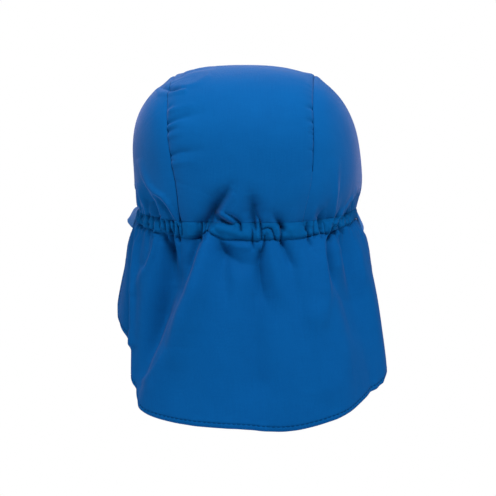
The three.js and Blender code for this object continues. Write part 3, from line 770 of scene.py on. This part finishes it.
peak = {
    "reach": 50.0,
    "fall": 14.6,  # at the temple where it hangs lowest
    "arch": 1.5,
    "clear": 0.5,
    "tuck": 1.8,  # how far its inner edge goes in under the crown's, and rises there
    "tuckRise": 1.0,
    "curl": 1.4,
    "seamGap": 0.3,
    "wall": 2.4,
    "edgeRow": 3.2,  # from the edge to the row of stitches, and how deep they draw it in
    "edgeGroove": 0.35,
    "edgeGrooveWide": 0.7,
    "edgeWall": 0.72,  # the share of the wall left at the edge, and how soon it is full
    "edgeWallWide": 2.5,
    "slack": 0.35,
    "slackWave": 30,
    "slackSeed": 17,
}

# its free edge from temple to forehead, reach and fall as shares of the peak's
peakEdgeLeft = [
    {"turn": 105, "reach": 0.13, "fall": 0.86},
    {"turn": 109, "reach": 0.192, "fall": 0.77},
    {"turn": 113, "reach": 0.248, "fall": 0.64},
    {"turn": 118, "reach": 0.264, "fall": 0.48},
    {"turn": 124, "reach": 0.31, "fall": 0.3},
    {"turn": 131, "reach": 0.4, "fall": 0.15},
    {"turn": 140, "reach": 0.62, "fall": 0.1},
    {"turn": 156, "reach": 0.9, "fall": 0.15},
    {"turn": 170, "reach": 0.985, "fall": 0.195},
    {"turn": 180, "reach": 1.0, "fall": 0.2},
]
peakEdgeRight = [
    {"turn": 105, "reach": 0.12, "fall": 1.0},
    {"turn": 110, "reach": 0.14, "fall": 0.91},
    {"turn": 115, "reach": 0.152, "fall": 0.77},
    {"turn": 120, "reach": 0.166, "fall": 0.6},
    {"turn": 126, "reach": 0.192, "fall": 0.425},
    {"turn": 132, "reach": 0.256, "fall": 0.295},
    {"turn": 140, "reach": 0.46, "fall": 0.205},
    {"turn": 156, "reach": 0.86, "fall": 0.18},
    {"turn": 170, "reach": 0.98, "fall": 0.195},
    {"turn": 180, "reach": 1.0, "fall": 0.2},
]


def peakEdge(turn, column):
    left = tableCurve(peakEdgeLeft, "turn", column, np.abs(turn))
    right = tableCurve(peakEdgeRight, "turn", column, np.abs(turn))
    return np.where(turn > 0, left, right)


def peakPoint(turn, w):  # turn as above, w from the rim to the free edge
    reach = peakEdge(turn, "reach") * peak["reach"]
    fall = peakEdge(turn, "fall") * peak["fall"]
    start = rimPoint(turn)
    point = start + rimOutward(turn) * (reach * w)[..., None]
    arch = peak["arch"] * np.sin(math.pi * w) * peakEdge(turn, "reach")
    point[..., 2] = start[..., 2] - peak["seamGap"] - peak["wall"] / 2 - fall * w ** peak["curl"] + arch
    ripple = slackWaves(point * np.array([1, 1, 0]), peak["slackWave"], peak["slackSeed"])
    point[..., 2] += ripple * peak["slack"] * np.sin(math.pi * w / 2)
    return point


# Making meshes

def gridNormals(points):
    across = np.gradient(points, axis=1)
    down = np.gradient(points, axis=0)
    return unit(np.cross(across, down))


def gridUv(points):  # the cloth's own flat coordinates, in millimetres
    across = np.linalg.norm(np.diff(points, axis=1), axis=2)
    down = np.linalg.norm(np.diff(points, axis=0), axis=2)
    u = np.concatenate([np.zeros((points.shape[0], 1)), np.cumsum(across, axis=1)], axis=1)
    v = np.concatenate([np.zeros((1, points.shape[1])), np.cumsum(down, axis=0)], axis=0)
    return np.stack([u - u[:, -1:] / 2, v], axis=-1)


def addPiece(name, vertices, faces):
    mesh = bpy.data.meshes.new(name)
    mesh.from_pydata((vertices * mm).tolist(), [], faces)
    mesh.polygons.foreach_set("use_smooth", np.ones(len(mesh.polygons), dtype=bool))
    mesh.update()
    piece = bpy.data.objects.new(name, mesh)
    bpy.context.scene.collection.objects.link(piece)
    return piece


def clothPiece(name, middle, wall, thick, facing, rounding=0.35):
    # a closed sheet: wall is its thickness at each point of the grid, and thick the plain
    # thickness that its outer face stands over the grid by half of
    rows, columns = middle.shape[:2]
    wall = np.broadcast_to(wall, (rows, columns))
    if np.sum(gridNormals(middle) * facing) < 0:
        middle, wall = middle[:, ::-1], wall[:, ::-1]
    normals = gridNormals(middle)
    outer = middle + normals * thick / 2
    inner = outer - normals * wall[..., None]
    ids = np.arange(rows * columns).reshape(rows, columns)
    ring = np.concatenate([ids[0, :], ids[1:, -1], ids[-1, -2::-1], ids[-2:0:-1, 0]])
    inside = np.concatenate([ids[1, :], ids[1:, -2], ids[-2, -2::-1], ids[-2:0:-1, 1]])
    outer, inner, wall = outer.reshape(-1, 3), inner.reshape(-1, 3), wall.reshape(-1)
    outward = unit(outer[ring] - outer[inside])
    bulge = (outer[ring] + inner[ring]) / 2 + outward * wall[ring][:, None] * rounding
    count = rows * columns
    a, b, c, d = ids[:-1, :-1].ravel(), ids[:-1, 1:].ravel(), ids[1:, 1:].ravel(), ids[1:, :-1].ravel()
    ringNext = np.roll(ring, -1)
    bulgeIds = 2 * count + np.arange(len(ring))
    bulgeNext = np.roll(bulgeIds, -1)
    faces = np.concatenate([
        np.stack([a, b, c, d], axis=1),
        np.stack([d, c, b, a], axis=1) + count,
        np.stack([ringNext, ring, bulgeIds, bulgeNext], axis=1),
        np.stack([bulgeNext, bulgeIds, ring + count, ringNext + count], axis=1),
    ])
    piece = addPiece(name, np.concatenate([outer, inner, bulge]), faces.tolist())
    flat = gridUv(middle).reshape(-1, 2) * mm
    flat = np.concatenate([flat, flat, flat[ring]])
    loops = np.empty(len(piece.data.loops), dtype=np.int32)
    piece.data.loops.foreach_get("vertex_index", loops)
    layer = piece.data.uv_layers.new(name="cloth")
    layer.data.foreach_set("uv", flat[loops].astype(np.float32).ravel())
    return piece


def stitchMesh(name, paths, look):  # paths: lists of (points, outward) along a row of stitches
    ringShares = np.array([0.0, 0.22, 0.5, 0.78, 1.0])
    ringSizes = np.array([0.5, 1.0, 1.0, 1.0, 0.5])
    ringLift = np.array([-0.55, 0.2, 0.45, 0.2, -0.55])
    sides = 6
    lastRing = sides * (len(ringShares) - 1)
    around = np.arange(sides) / sides * 2 * math.pi
    vertices, faces = [], []
    for points, outward in paths:
        steps = np.linalg.norm(np.diff(points, axis=0), axis=1)
        length = np.concatenate([[0], np.cumsum(steps)])
        count = max(int(length[-1] / (look["stitch"] + look["space"])), 1)
        pitch = length[-1] / count
        starts = np.arange(count) * pitch + look["space"] / 2
        shares = starts[:, None] + ringShares[None, :] * (pitch - look["space"])
        at = np.stack([np.interp(shares, length, points[:, k]) for k in range(3)], axis=-1)
        up = unit(np.stack([np.interp(shares, length, outward[:, k]) for k in range(3)], axis=-1))
        ahead = unit(np.gradient(at, axis=1))
        beside = unit(np.cross(up, ahead))
        radius = look["thread"] / 2
        centre = at + up * (ringLift * radius)[None, :, None]
        wide = beside[:, :, None, :] * np.cos(around)[None, None, :, None]
        high = up[:, :, None, :] * np.sin(around)[None, None, :, None]
        rings = centre[:, :, None, :] + radius * ringSizes[None, :, None, None] * (wide + high)
        for stitch in rings:
            base = len(vertices)
            vertices.extend(stitch.reshape(-1, 3).tolist())
            for row in range(base, base + lastRing, sides):
                for k in range(sides):
                    a, b = row + k, row + (k + 1) % sides
                    faces.append((a, b, b + sides, a + sides))
            faces.append(tuple(base + k for k in reversed(range(sides))))
            faces.append(tuple(base + lastRing + k for k in range(sides)))
    return addPiece(name, np.array(vertices), faces)


def ride(piece, node=None):
    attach(piece, "root")
    if node:
        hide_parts(node)
    return piece


# Cloth and thread

crownLook = {
    "colour": (0.0022, 0.091, 0.303),
    "deep": (0.0014, 0.072, 0.252),
    "thread": 0.42,  # one warp or weft thread, in millimetres
    "rough": (0.6, 0.74),
    "specular": 0.012,
    "sheen": 0.2,
    "sheenTint": (0.68, 0.62, 1.0),
    "sheenRough": 0.33,
    "crumple": 0.4,
    # painted shade: ambient occlusion darkens the colour in folds and seams, within this reach in
    # millimetres, over this range of occlusion, down to this share of the colour
    "paintedShadeReach": 20.0,
    "crease": (0.4, 0.9),
    "paintedShadeTone": 0.74,
}
# painted shade: the casing is a darker copy of the crown's cloth, for the shade on the puckered band
shadedCasingLook = {**crownLook, "colour": (0.0012, 0.085, 0.27), "deep": (0.0008, 0.068, 0.225), "sheen": 0.04}
# painted shade: the flap is a darker copy of the crown's cloth, for the lesser light that reaches it
shadedFlapLook = {**crownLook, "colour": (0.0018, 0.081, 0.279), "deep": (0.0012, 0.065, 0.234), "sheen": 0.035}
# painted light: the peak is a lighter copy of the crown's cloth, for the light that falls on its underside
litPeakLook = {**crownLook, "colour": (0.04, 0.16, 0.42), "deep": (0.03, 0.125, 0.36)}
# painted shade: a dark blue without sheen for the faces beside a seam, standing in for the shade where the
# cloth turns in
seamShadeLook = {**crownLook, "colour": (0.0004, 0.03, 0.12), "deep": (0.0003, 0.024, 0.1), "sheen": 0.0}
threadLook = {"colour": (0.0006, 0.055, 0.19), "deep": 0.75, "rough": 0.8, "specular": 0.02, "twist": 0.55}


def newMaterial(name):
    material = bpy.data.materials.new(name)
    material.use_nodes = True
    nodes = material.node_tree.nodes
    nodes.clear()
    output = nodes.new("ShaderNodeOutputMaterial")
    shader = nodes.new("ShaderNodeBsdfPrincipled")
    material.node_tree.links.new(shader.outputs["BSDF"], output.inputs["Surface"])
    return material, nodes, material.node_tree.links.new, shader


def clothMaterial(name, look):
    material, nodes, link, shader = newMaterial(name)
    flat = nodes.new("ShaderNodeUVMap")
    flat.uv_map = "cloth"

    def stretchedNoise(scaleX, scaleY, detail):
        stretch = nodes.new("ShaderNodeMapping")
        stretch.inputs["Scale"].default_value = (scaleX, scaleY, 1)
        link(flat.outputs["UV"], stretch.inputs["Vector"])
        noise = nodes.new("ShaderNodeTexNoise")
        noise.inputs["Scale"].default_value = 1
        noise.inputs["Detail"].default_value = detail
        link(stretch.outputs["Vector"], noise.inputs["Vector"])
        return noise.outputs["Fac"]

    def combine(operation, a, b):
        node = nodes.new("ShaderNodeMath")
        node.operation = operation
        for socket, value in zip(node.inputs, (a, b)):
            if isinstance(value, (int, float)):
                socket.default_value = value
            else:
                link(value, socket)
        return node.outputs[0]

    def threads(direction):
        wave = nodes.new("ShaderNodeTexWave")
        wave.wave_type = "BANDS"
        wave.bands_direction = direction
        wave.inputs["Scale"].default_value = math.pi / 10 / (2 * look["thread"] * mm)
        wave.inputs["Distortion"].default_value = 0.6
        wave.inputs["Detail"].default_value = 1
        wave.inputs["Detail Scale"].default_value = 0.6
        link(flat.outputs["UV"], wave.inputs["Vector"])
        return wave.outputs["Fac"]

    weave = combine("MULTIPLY", threads("X"), threads("Y"))
    warp = stretchedNoise(1500, 60, 2)  # uneven threads, as fine streaks both ways
    weft = stretchedNoise(60, 1500, 2)
    streaks = combine("ADD", warp, weft)
    mottle = stretchedNoise(38, 38, 3)

    tone = combine("ADD", combine("MULTIPLY", streaks, 0.32), combine("MULTIPLY", weave, 0.3))
    tone = combine("ADD", tone, combine("MULTIPLY", mottle, 0.38))
    colour = nodes.new("ShaderNodeMix")
    colour.data_type = "RGBA"
    colour.inputs["A"].default_value = (*look["deep"], 1)
    colour.inputs["B"].default_value = (*look["colour"], 1)
    spread = nodes.new("ShaderNodeMapRange")
    spread.inputs["From Min"].default_value = 0.3
    spread.inputs["From Max"].default_value = 0.72
    link(tone, spread.inputs["Value"])
    link(spread.outputs["Result"], colour.inputs["Factor"])
    crease = nodes.new("ShaderNodeAmbientOcclusion")  # painted shade: ambient occlusion darkens the colour in seams and folds
    crease.samples = 8
    crease.inputs["Distance"].default_value = look["paintedShadeReach"] * mm
    depth = nodes.new("ShaderNodeMapRange")
    depth.inputs["From Min"].default_value, depth.inputs["From Max"].default_value = look["crease"]
    depth.inputs["To Min"].default_value = look["paintedShadeTone"]
    link(crease.outputs["AO"], depth.inputs["Value"])
    shaded = nodes.new("ShaderNodeMix")
    shaded.data_type, shaded.blend_type = "RGBA", "MULTIPLY"
    shaded.inputs["Factor"].default_value = 1
    link(colour.outputs["Result"], shaded.inputs["A"])
    link(depth.outputs["Result"], shaded.inputs["B"])
    link(shaded.outputs["Result"], shader.inputs["Base Color"])

    rough = nodes.new("ShaderNodeMapRange")
    rough.inputs["To Min"].default_value, rough.inputs["To Max"].default_value = look["rough"]
    link(mottle, rough.inputs["Value"])
    link(rough.outputs["Result"], shader.inputs["Roughness"])

    crumple = stretchedNoise(150, 110, 4)
    height = combine("ADD", combine("MULTIPLY", weave, 0.1), combine("MULTIPLY", crumple, look["crumple"]))
    height = combine("ADD", height, combine("MULTIPLY", streaks, 0.05))
    bump = nodes.new("ShaderNodeBump")
    bump.inputs["Strength"].default_value = 0.5
    bump.inputs["Distance"].default_value = 0.9 * mm
    link(height, bump.inputs["Height"])
    link(bump.outputs["Normal"], shader.inputs["Normal"])

    shader.inputs["Specular IOR Level"].default_value = look["specular"]
    shader.inputs["Sheen Weight"].default_value = look["sheen"]
    shader.inputs["Sheen Tint"].default_value = (*look["sheenTint"], 1)
    shader.inputs["Sheen Roughness"].default_value = look["sheenRough"]
    return material


def threadMaterial(name, look):
    material, nodes, link, shader = newMaterial(name)
    place = nodes.new("ShaderNodeTexCoord")
    ply = nodes.new("ShaderNodeTexWave")
    ply.bands_direction = "DIAGONAL"
    ply.inputs["Scale"].default_value = math.pi / 10 / (look["twist"] * mm)
    link(place.outputs["Object"], ply.inputs["Vector"])
    colour = nodes.new("ShaderNodeMix")
    colour.data_type = "RGBA"
    colour.inputs["A"].default_value = (*[look["deep"] * c for c in look["colour"]], 1)
    colour.inputs["B"].default_value = (*look["colour"], 1)
    link(ply.outputs["Fac"], colour.inputs["Factor"])
    link(colour.outputs["Result"], shader.inputs["Base Color"])
    bump = nodes.new("ShaderNodeBump")
    bump.inputs["Strength"].default_value = 0.4
    bump.inputs["Distance"].default_value = 0.1 * mm
    link(ply.outputs["Fac"], bump.inputs["Height"])
    link(bump.outputs["Normal"], shader.inputs["Normal"])
    shader.inputs["Roughness"].default_value = look["rough"]
    shader.inputs["Specular IOR Level"].default_value = look["specular"]
    return material


crownCloth = clothMaterial("crownCloth", crownLook)
casingCloth = clothMaterial("casingCloth", shadedCasingLook)
flapCloth = clothMaterial("flapCloth", shadedFlapLook)
peakCloth = clothMaterial("peakCloth", litPeakLook)
seamShade = clothMaterial("seamShade", seamShadeLook)
blueThread = threadMaterial("blueThread", threadLook)
print("materials made")


# The crown's three panels

panels = {
    "centreColumns": 216,
    "centreRows": (84, 84, 54),
    "sideColumns": (130, 110),
    "sideRows": (60, 68),
    "cornerShare": 8 / 30,  # how much of a seam, from either end, is an upright edge of the side panel
}


def unevenSteps(counts, breaks):  # 0 to 1 in runs of steps, finer in the runs named first
    runs = [np.linspace(a, b, count, endpoint=False) for a, b, count in zip(breaks, breaks[1:], counts)]
    return np.concatenate([*runs, [1.0]])


def centreGrid():
    across = np.linspace(-1, 1, panels["centreColumns"])[None, :]
    v = unevenSteps(panels["centreRows"], (0, 0.16, 0.45, 1))[:, None]
    turn, side = 90 + 0 * v * across, 0 * v * across
    for _ in range(passes):
        turn = blend(rimTurn(side, True), rimTurn(side, False), v)
        side = across * (seamHalf(turn) - seamClear(across, turn))
    return dressCrown(profileOffset(side, turn))


def sideGrid(sign):
    corner = panels["cornerShare"]
    u = unevenSteps(panels["sideColumns"], (0, 0.36, 1))[None, :, None]
    v = unevenSteps(panels["sideRows"], (0, 0.34, 1))[:, None, None]

    ends = [seamOffset(np.array(0.0), sign), seamOffset(np.array(1.0), sign)]
    endTurns = [np.degrees(np.arctan2(abs(end[0]), end[1])) for end in ends]
    rim = fromCentre(rimPoint(sign * blend(endTurns[0], endTurns[1], u[..., 0])))
    top = seamOffset(blend(corner, 1 - corner, u[..., 0]), sign)
    back, front = seamOffset(corner * v[..., 0], sign), seamOffset(1 - corner * v[..., 0], sign)
    corners = blend(blend(rim[:, :1], rim[:, -1:], u), blend(top[:, :1], top[:, -1:], u), v)
    direction = unit(blend(rim, top, v) + blend(back, front, u) - corners)
    return dressCrown(ontoDome(direction))


def shadeSeams(panel, grid):  # painted shade: the faces beside a seam take a dark blue, for the shade where the cloth turns in
    turn = np.degrees(np.arctan2(grid[..., 2] - crown["widestAt"], grid[..., 1]))
    clear = (seamFade(grid[..., 0], turn) > crown["seamShaded"])[:-1, :-1]
    shaded = np.zeros(clear.shape, dtype=np.int32)
    shaded[:, 0] = clear[:, 0]
    if panel.name == "crown_center_cloth":
        shaded[:, -1] = clear[:, -1]
    if np.sum(gridNormals(grid) * fromCentre(grid)) < 0:
        shaded = shaded[:, ::-1]
    marks = np.zeros(len(panel.data.polygons), dtype=np.int32)
    marks[:shaded.size] = shaded.ravel()
    panel.data.polygons.foreach_set("material_index", marks)


for name, node, grid in (
    ("crown_center_cloth", "crown_center_panel", centreGrid()),
    ("crown_side_cloth_left", "crown_side_panel_left", sideGrid(1)),
    ("crown_side_cloth_right", "crown_side_panel_right", sideGrid(-1)),
):
    panel = clothPiece(name, grid, crown["wall"], crown["wall"], fromCentre(grid), rounding=0.1)
    panel.data.materials.append(crownCloth)
    panel.data.materials.append(seamShade)
    shadeSeams(panel, grid)
    ride(panel, node)
print("crown panels made")


# The casing

casingTurns = np.concatenate([
    np.linspace(-casing["turn"], -64, 100, endpoint=False),
    np.linspace(-64, 64, 820),
    np.linspace(casing["turn"], 64, 100, endpoint=False)[::-1],
])
casingRows = np.concatenate([np.linspace(0, 0.7, 15, endpoint=False), np.linspace(0.7, 1, 13)])


def outwardField(turns, grid):
    return rimOutward(turns)[None, :, :] + 0 * grid


turns, v = np.meshgrid(casingTurns, casingRows)
grid = casingPoint(turns, v)
facing = outwardField(casingTurns, grid)
band = clothPiece("nape_casing_cloth", grid, casing["wall"], casing["wall"], facing, rounding=0.1)
band.data.materials.append(casingCloth)
ride(band, "nape_casing")

casingStitch = {"stitch": 1.9, "space": 0.8, "thread": 0.32, "edge": 0.5}
line = casingPoint(casingTurns, 1 - casingStitch["edge"] / casingDeep(casingTurns))
outward = rimOutward(casingTurns)
rows = [(line + outward * (casing["wall"] / 2), outward)]
casingStitches = stitchMesh("nape_casing_stitches", rows, casingStitch)
casingStitches.data.materials.append(blueThread)
ride(casingStitches)
print("casing made")


# The flap, with its hem turned in along the bottom and up both front edges

edgeTurns = np.array([0, 0.3, 0.7, 1.1, 1.5, 1.8, 2.05, 2.3, 2.7])
flapTurns = np.concatenate([
    -casing["turn"] + edgeTurns,
    np.linspace(-casing["turn"] + 3.2, -62, 34, endpoint=False),
    np.linspace(-62, 62, 290),
    np.linspace(casing["turn"] - 3.2, 62, 34, endpoint=False)[::-1],
    (casing["turn"] - edgeTurns)[::-1],
])
hemRows = np.array([3.6, 3.15, 2.9, 2.7, 2.4, 1.9, 1.3, 0.7, 0.3, 0.0])
length = tableCurve(hemCurve, "turn", "length", flapTurns) * flap["length"]
down = np.concatenate([
    np.linspace(0, 1, 112)[:, None] ** 1.4 * (length - 4.4)[None, :],
    length[None, :] - hemRows[:, None],
])
turns = np.broadcast_to(flapTurns, down.shape)
grid = flapPoint(turns, down / length[None, :])
besideEdge = (casing["turn"] - np.abs(turns)) * flap["edgePerDegree"]
toEdge = np.minimum(length[None, :] - down, besideEdge)
outward = outwardField(flapTurns, grid)
drawnIn = flap["hemDent"] * bell(toEdge - flap["hem"], 0.5) + flap["hemRoll"] * bell(toEdge, 0.9)
grid = grid - outward * drawnIn[..., None]
wall = blend(flap["hemWall"], flap["wall"], ease(toEdge, flap["hem"] - 0.1, flap["hem"] + 0.5))
sheet = clothPiece("neck_flap_cloth", grid, wall, flap["wall"], outward)
sheet.data.materials.append(flapCloth)
ride(sheet, "neck_flap")

# fromEnd is in degrees; the two upright rows start at a share of the flap's length and stop
# a hem above its edge, about length down from the casing
hemStitch = {"stitch": 2.2, "space": 0.9, "thread": 0.4, "sunk": 0.15, "fromEnd": 2.1}
uprightRow = {"fromEnd": 2.0, "start": 0.03, "length": 60}
hemTurns = np.linspace(-casing["turn"] + hemStitch["fromEnd"], casing["turn"] - hemStitch["fromEnd"], 500)
hemLength = tableCurve(hemCurve, "turn", "length", hemTurns) * flap["length"]
line = flapPoint(hemTurns, 1 - flap["hem"] / hemLength)
over = flap["wall"] / 2 - hemStitch["sunk"]
rows = [(line + rimOutward(hemTurns) * over, rimOutward(hemTurns))]
for side in (-1, 1):
    v = np.linspace(uprightRow["start"], 1 - flap["hem"] / uprightRow["length"], 120)
    turns = np.full(v.shape, side * (casing["turn"] - uprightRow["fromEnd"]))
    outward = rimOutward(turns)
    rows.append((flapPoint(turns, v) + outward * over, outward))
hemStitches = stitchMesh("neck_flap_stitches", rows, hemStitch)
hemStitches.data.materials.append(blueThread)
ride(hemStitches)
print("flap made")


# The peak

peakStart = casing["turn"] + peak["clear"]
angles = np.linspace(peakStart, 360 - peakStart, 250)
peakTurns = np.where(angles > 180, angles - 360, angles)
shares = np.concatenate([np.linspace(0, 0.88, 44), np.linspace(0.895, 1, 16)])
turns, w = np.meshgrid(peakTurns, shares)
grid = peakPoint(turns, w)
toRim = np.linalg.norm(grid[-1][None] - grid, axis=-1)
groove = peak["edgeGroove"] * bell(toRim - peak["edgeRow"], peak["edgeGrooveWide"])
grid[..., 2] -= groove
wall = peak["wall"] * blend(peak["edgeWall"], 1, ease(toRim, 0, peak["edgeWallWide"])) - 2 * groove
tucked = grid[:1] - rimOutward(peakTurns) * peak["tuck"]
tucked[..., 2] += peak["tuckRise"]
grid, wall = np.concatenate([tucked, grid]), np.concatenate([wall[:1], wall])
visor = clothPiece("peak_cloth", grid, wall, peak["wall"], np.array([0, 0, 1.0]) + 0 * grid, rounding=0.5)
visor.data.materials.append(peakCloth)
ride(visor, "peak")

peakStitch = {"stitch": 2.2, "space": 0.8, "thread": 0.45, "sunk": 0.3}
edge = peakPoint(peakTurns, np.ones_like(peakTurns))
inner = peakPoint(peakTurns, np.full_like(peakTurns, 0.8))
toward = unit(inner - edge)
span = np.linalg.norm(inner - edge, axis=-1)
line = edge + toward * np.minimum(peak["edgeRow"], 2.0 * span)[:, None]
up = np.array([0, 0, 1.0]) + 0 * line
rows = [(line[6:-6] + up[6:-6] * (peak["wall"] / 2 - peakStitch["sunk"]), up[6:-6])]
peakStitches = stitchMesh("peak_stitches", rows, peakStitch)
peakStitches.data.materials.append(blueThread)
ride(peakStitches)
print("peak made")


# Camera, lights and floor

lens = bpy.data.cameras.new("camera")
lens.sensor_width = 36
lens.lens = lens.sensor_width * camera["distance"] / (camera["frame"] * camera["perPixel"])
lens.clip_end = 50
eye = bpy.data.objects.new("camera", lens)
eye.location = Vector(cameraSpot) * mm
eye.rotation_euler = Vector(-cameraBack).to_track_quat("-Z", "Y").to_euler()
bpy.context.scene.collection.objects.link(eye)
bpy.context.scene.camera = eye

lights = [
    {"name": "key", "at": (-0.35, 1.1, 1.6), "size": 0.6, "power": 37},
    {"name": "left", "at": (1.8, 0.6, 0.2), "size": 1.0, "power": 13},
    {"name": "right", "at": (-1.8, 0.6, 0.2), "size": 1.0, "power": 9},
    {"name": "top", "at": (0.1, 0.1, 1.6), "size": 0.9, "power": 12},
    {"name": "front", "at": (0.3, -1.5, 0.9), "size": 1.2, "power": 14},
]
for row in lights:
    lamp = bpy.data.lights.new(row["name"], "AREA")
    lamp.size = row["size"]
    lamp.energy = row["power"]
    holder = bpy.data.objects.new(row["name"], lamp)
    holder.location = row["at"]
    holder.rotation_euler = (Vector((0, 0, -0.01)) - Vector(row["at"])).to_track_quat("-Z", "Y").to_euler()
    bpy.context.scene.collection.objects.link(holder)

room = {"floor": -0.42, "floorSize": 2.4, "floorColour": (0.85, 0.85, 0.85), "light": 0.15, "backdrop": 1.0}

world = bpy.data.worlds.new("studio")
bpy.context.scene.world = world
world.use_nodes = True
tree = world.node_tree
tree.nodes.clear()
seen, lit = tree.nodes.new("ShaderNodeBackground"), tree.nodes.new("ShaderNodeBackground")
seen.inputs["Color"].default_value = (1, 1, 1, 1)
seen.inputs["Strength"].default_value = room["backdrop"]
lit.inputs["Color"].default_value = (1, 1, 1, 1)
lit.inputs["Strength"].default_value = room["light"]
path, mix = tree.nodes.new("ShaderNodeLightPath"), tree.nodes.new("ShaderNodeMixShader")
output = tree.nodes.new("ShaderNodeOutputWorld")
tree.links.new(path.outputs["Is Camera Ray"], mix.inputs["Fac"])
tree.links.new(lit.outputs["Background"], mix.inputs[1])
tree.links.new(seen.outputs["Background"], mix.inputs[2])
tree.links.new(mix.outputs["Shader"], output.inputs["Surface"])

bpy.ops.mesh.primitive_plane_add(size=room["floorSize"], location=(0, 0, room["floor"]))
floor = bpy.context.active_object
floor.name = "studio_floor"
paper, _, _, paperShader = newMaterial("palePaper")
paperShader.inputs["Base Color"].default_value = (*room["floorColour"], 1)
paperShader.inputs["Roughness"].default_value = 0.9
floor.data.materials.append(paper)
bpy.context.scene.view_settings.view_transform = "Standard"
print("studio made")
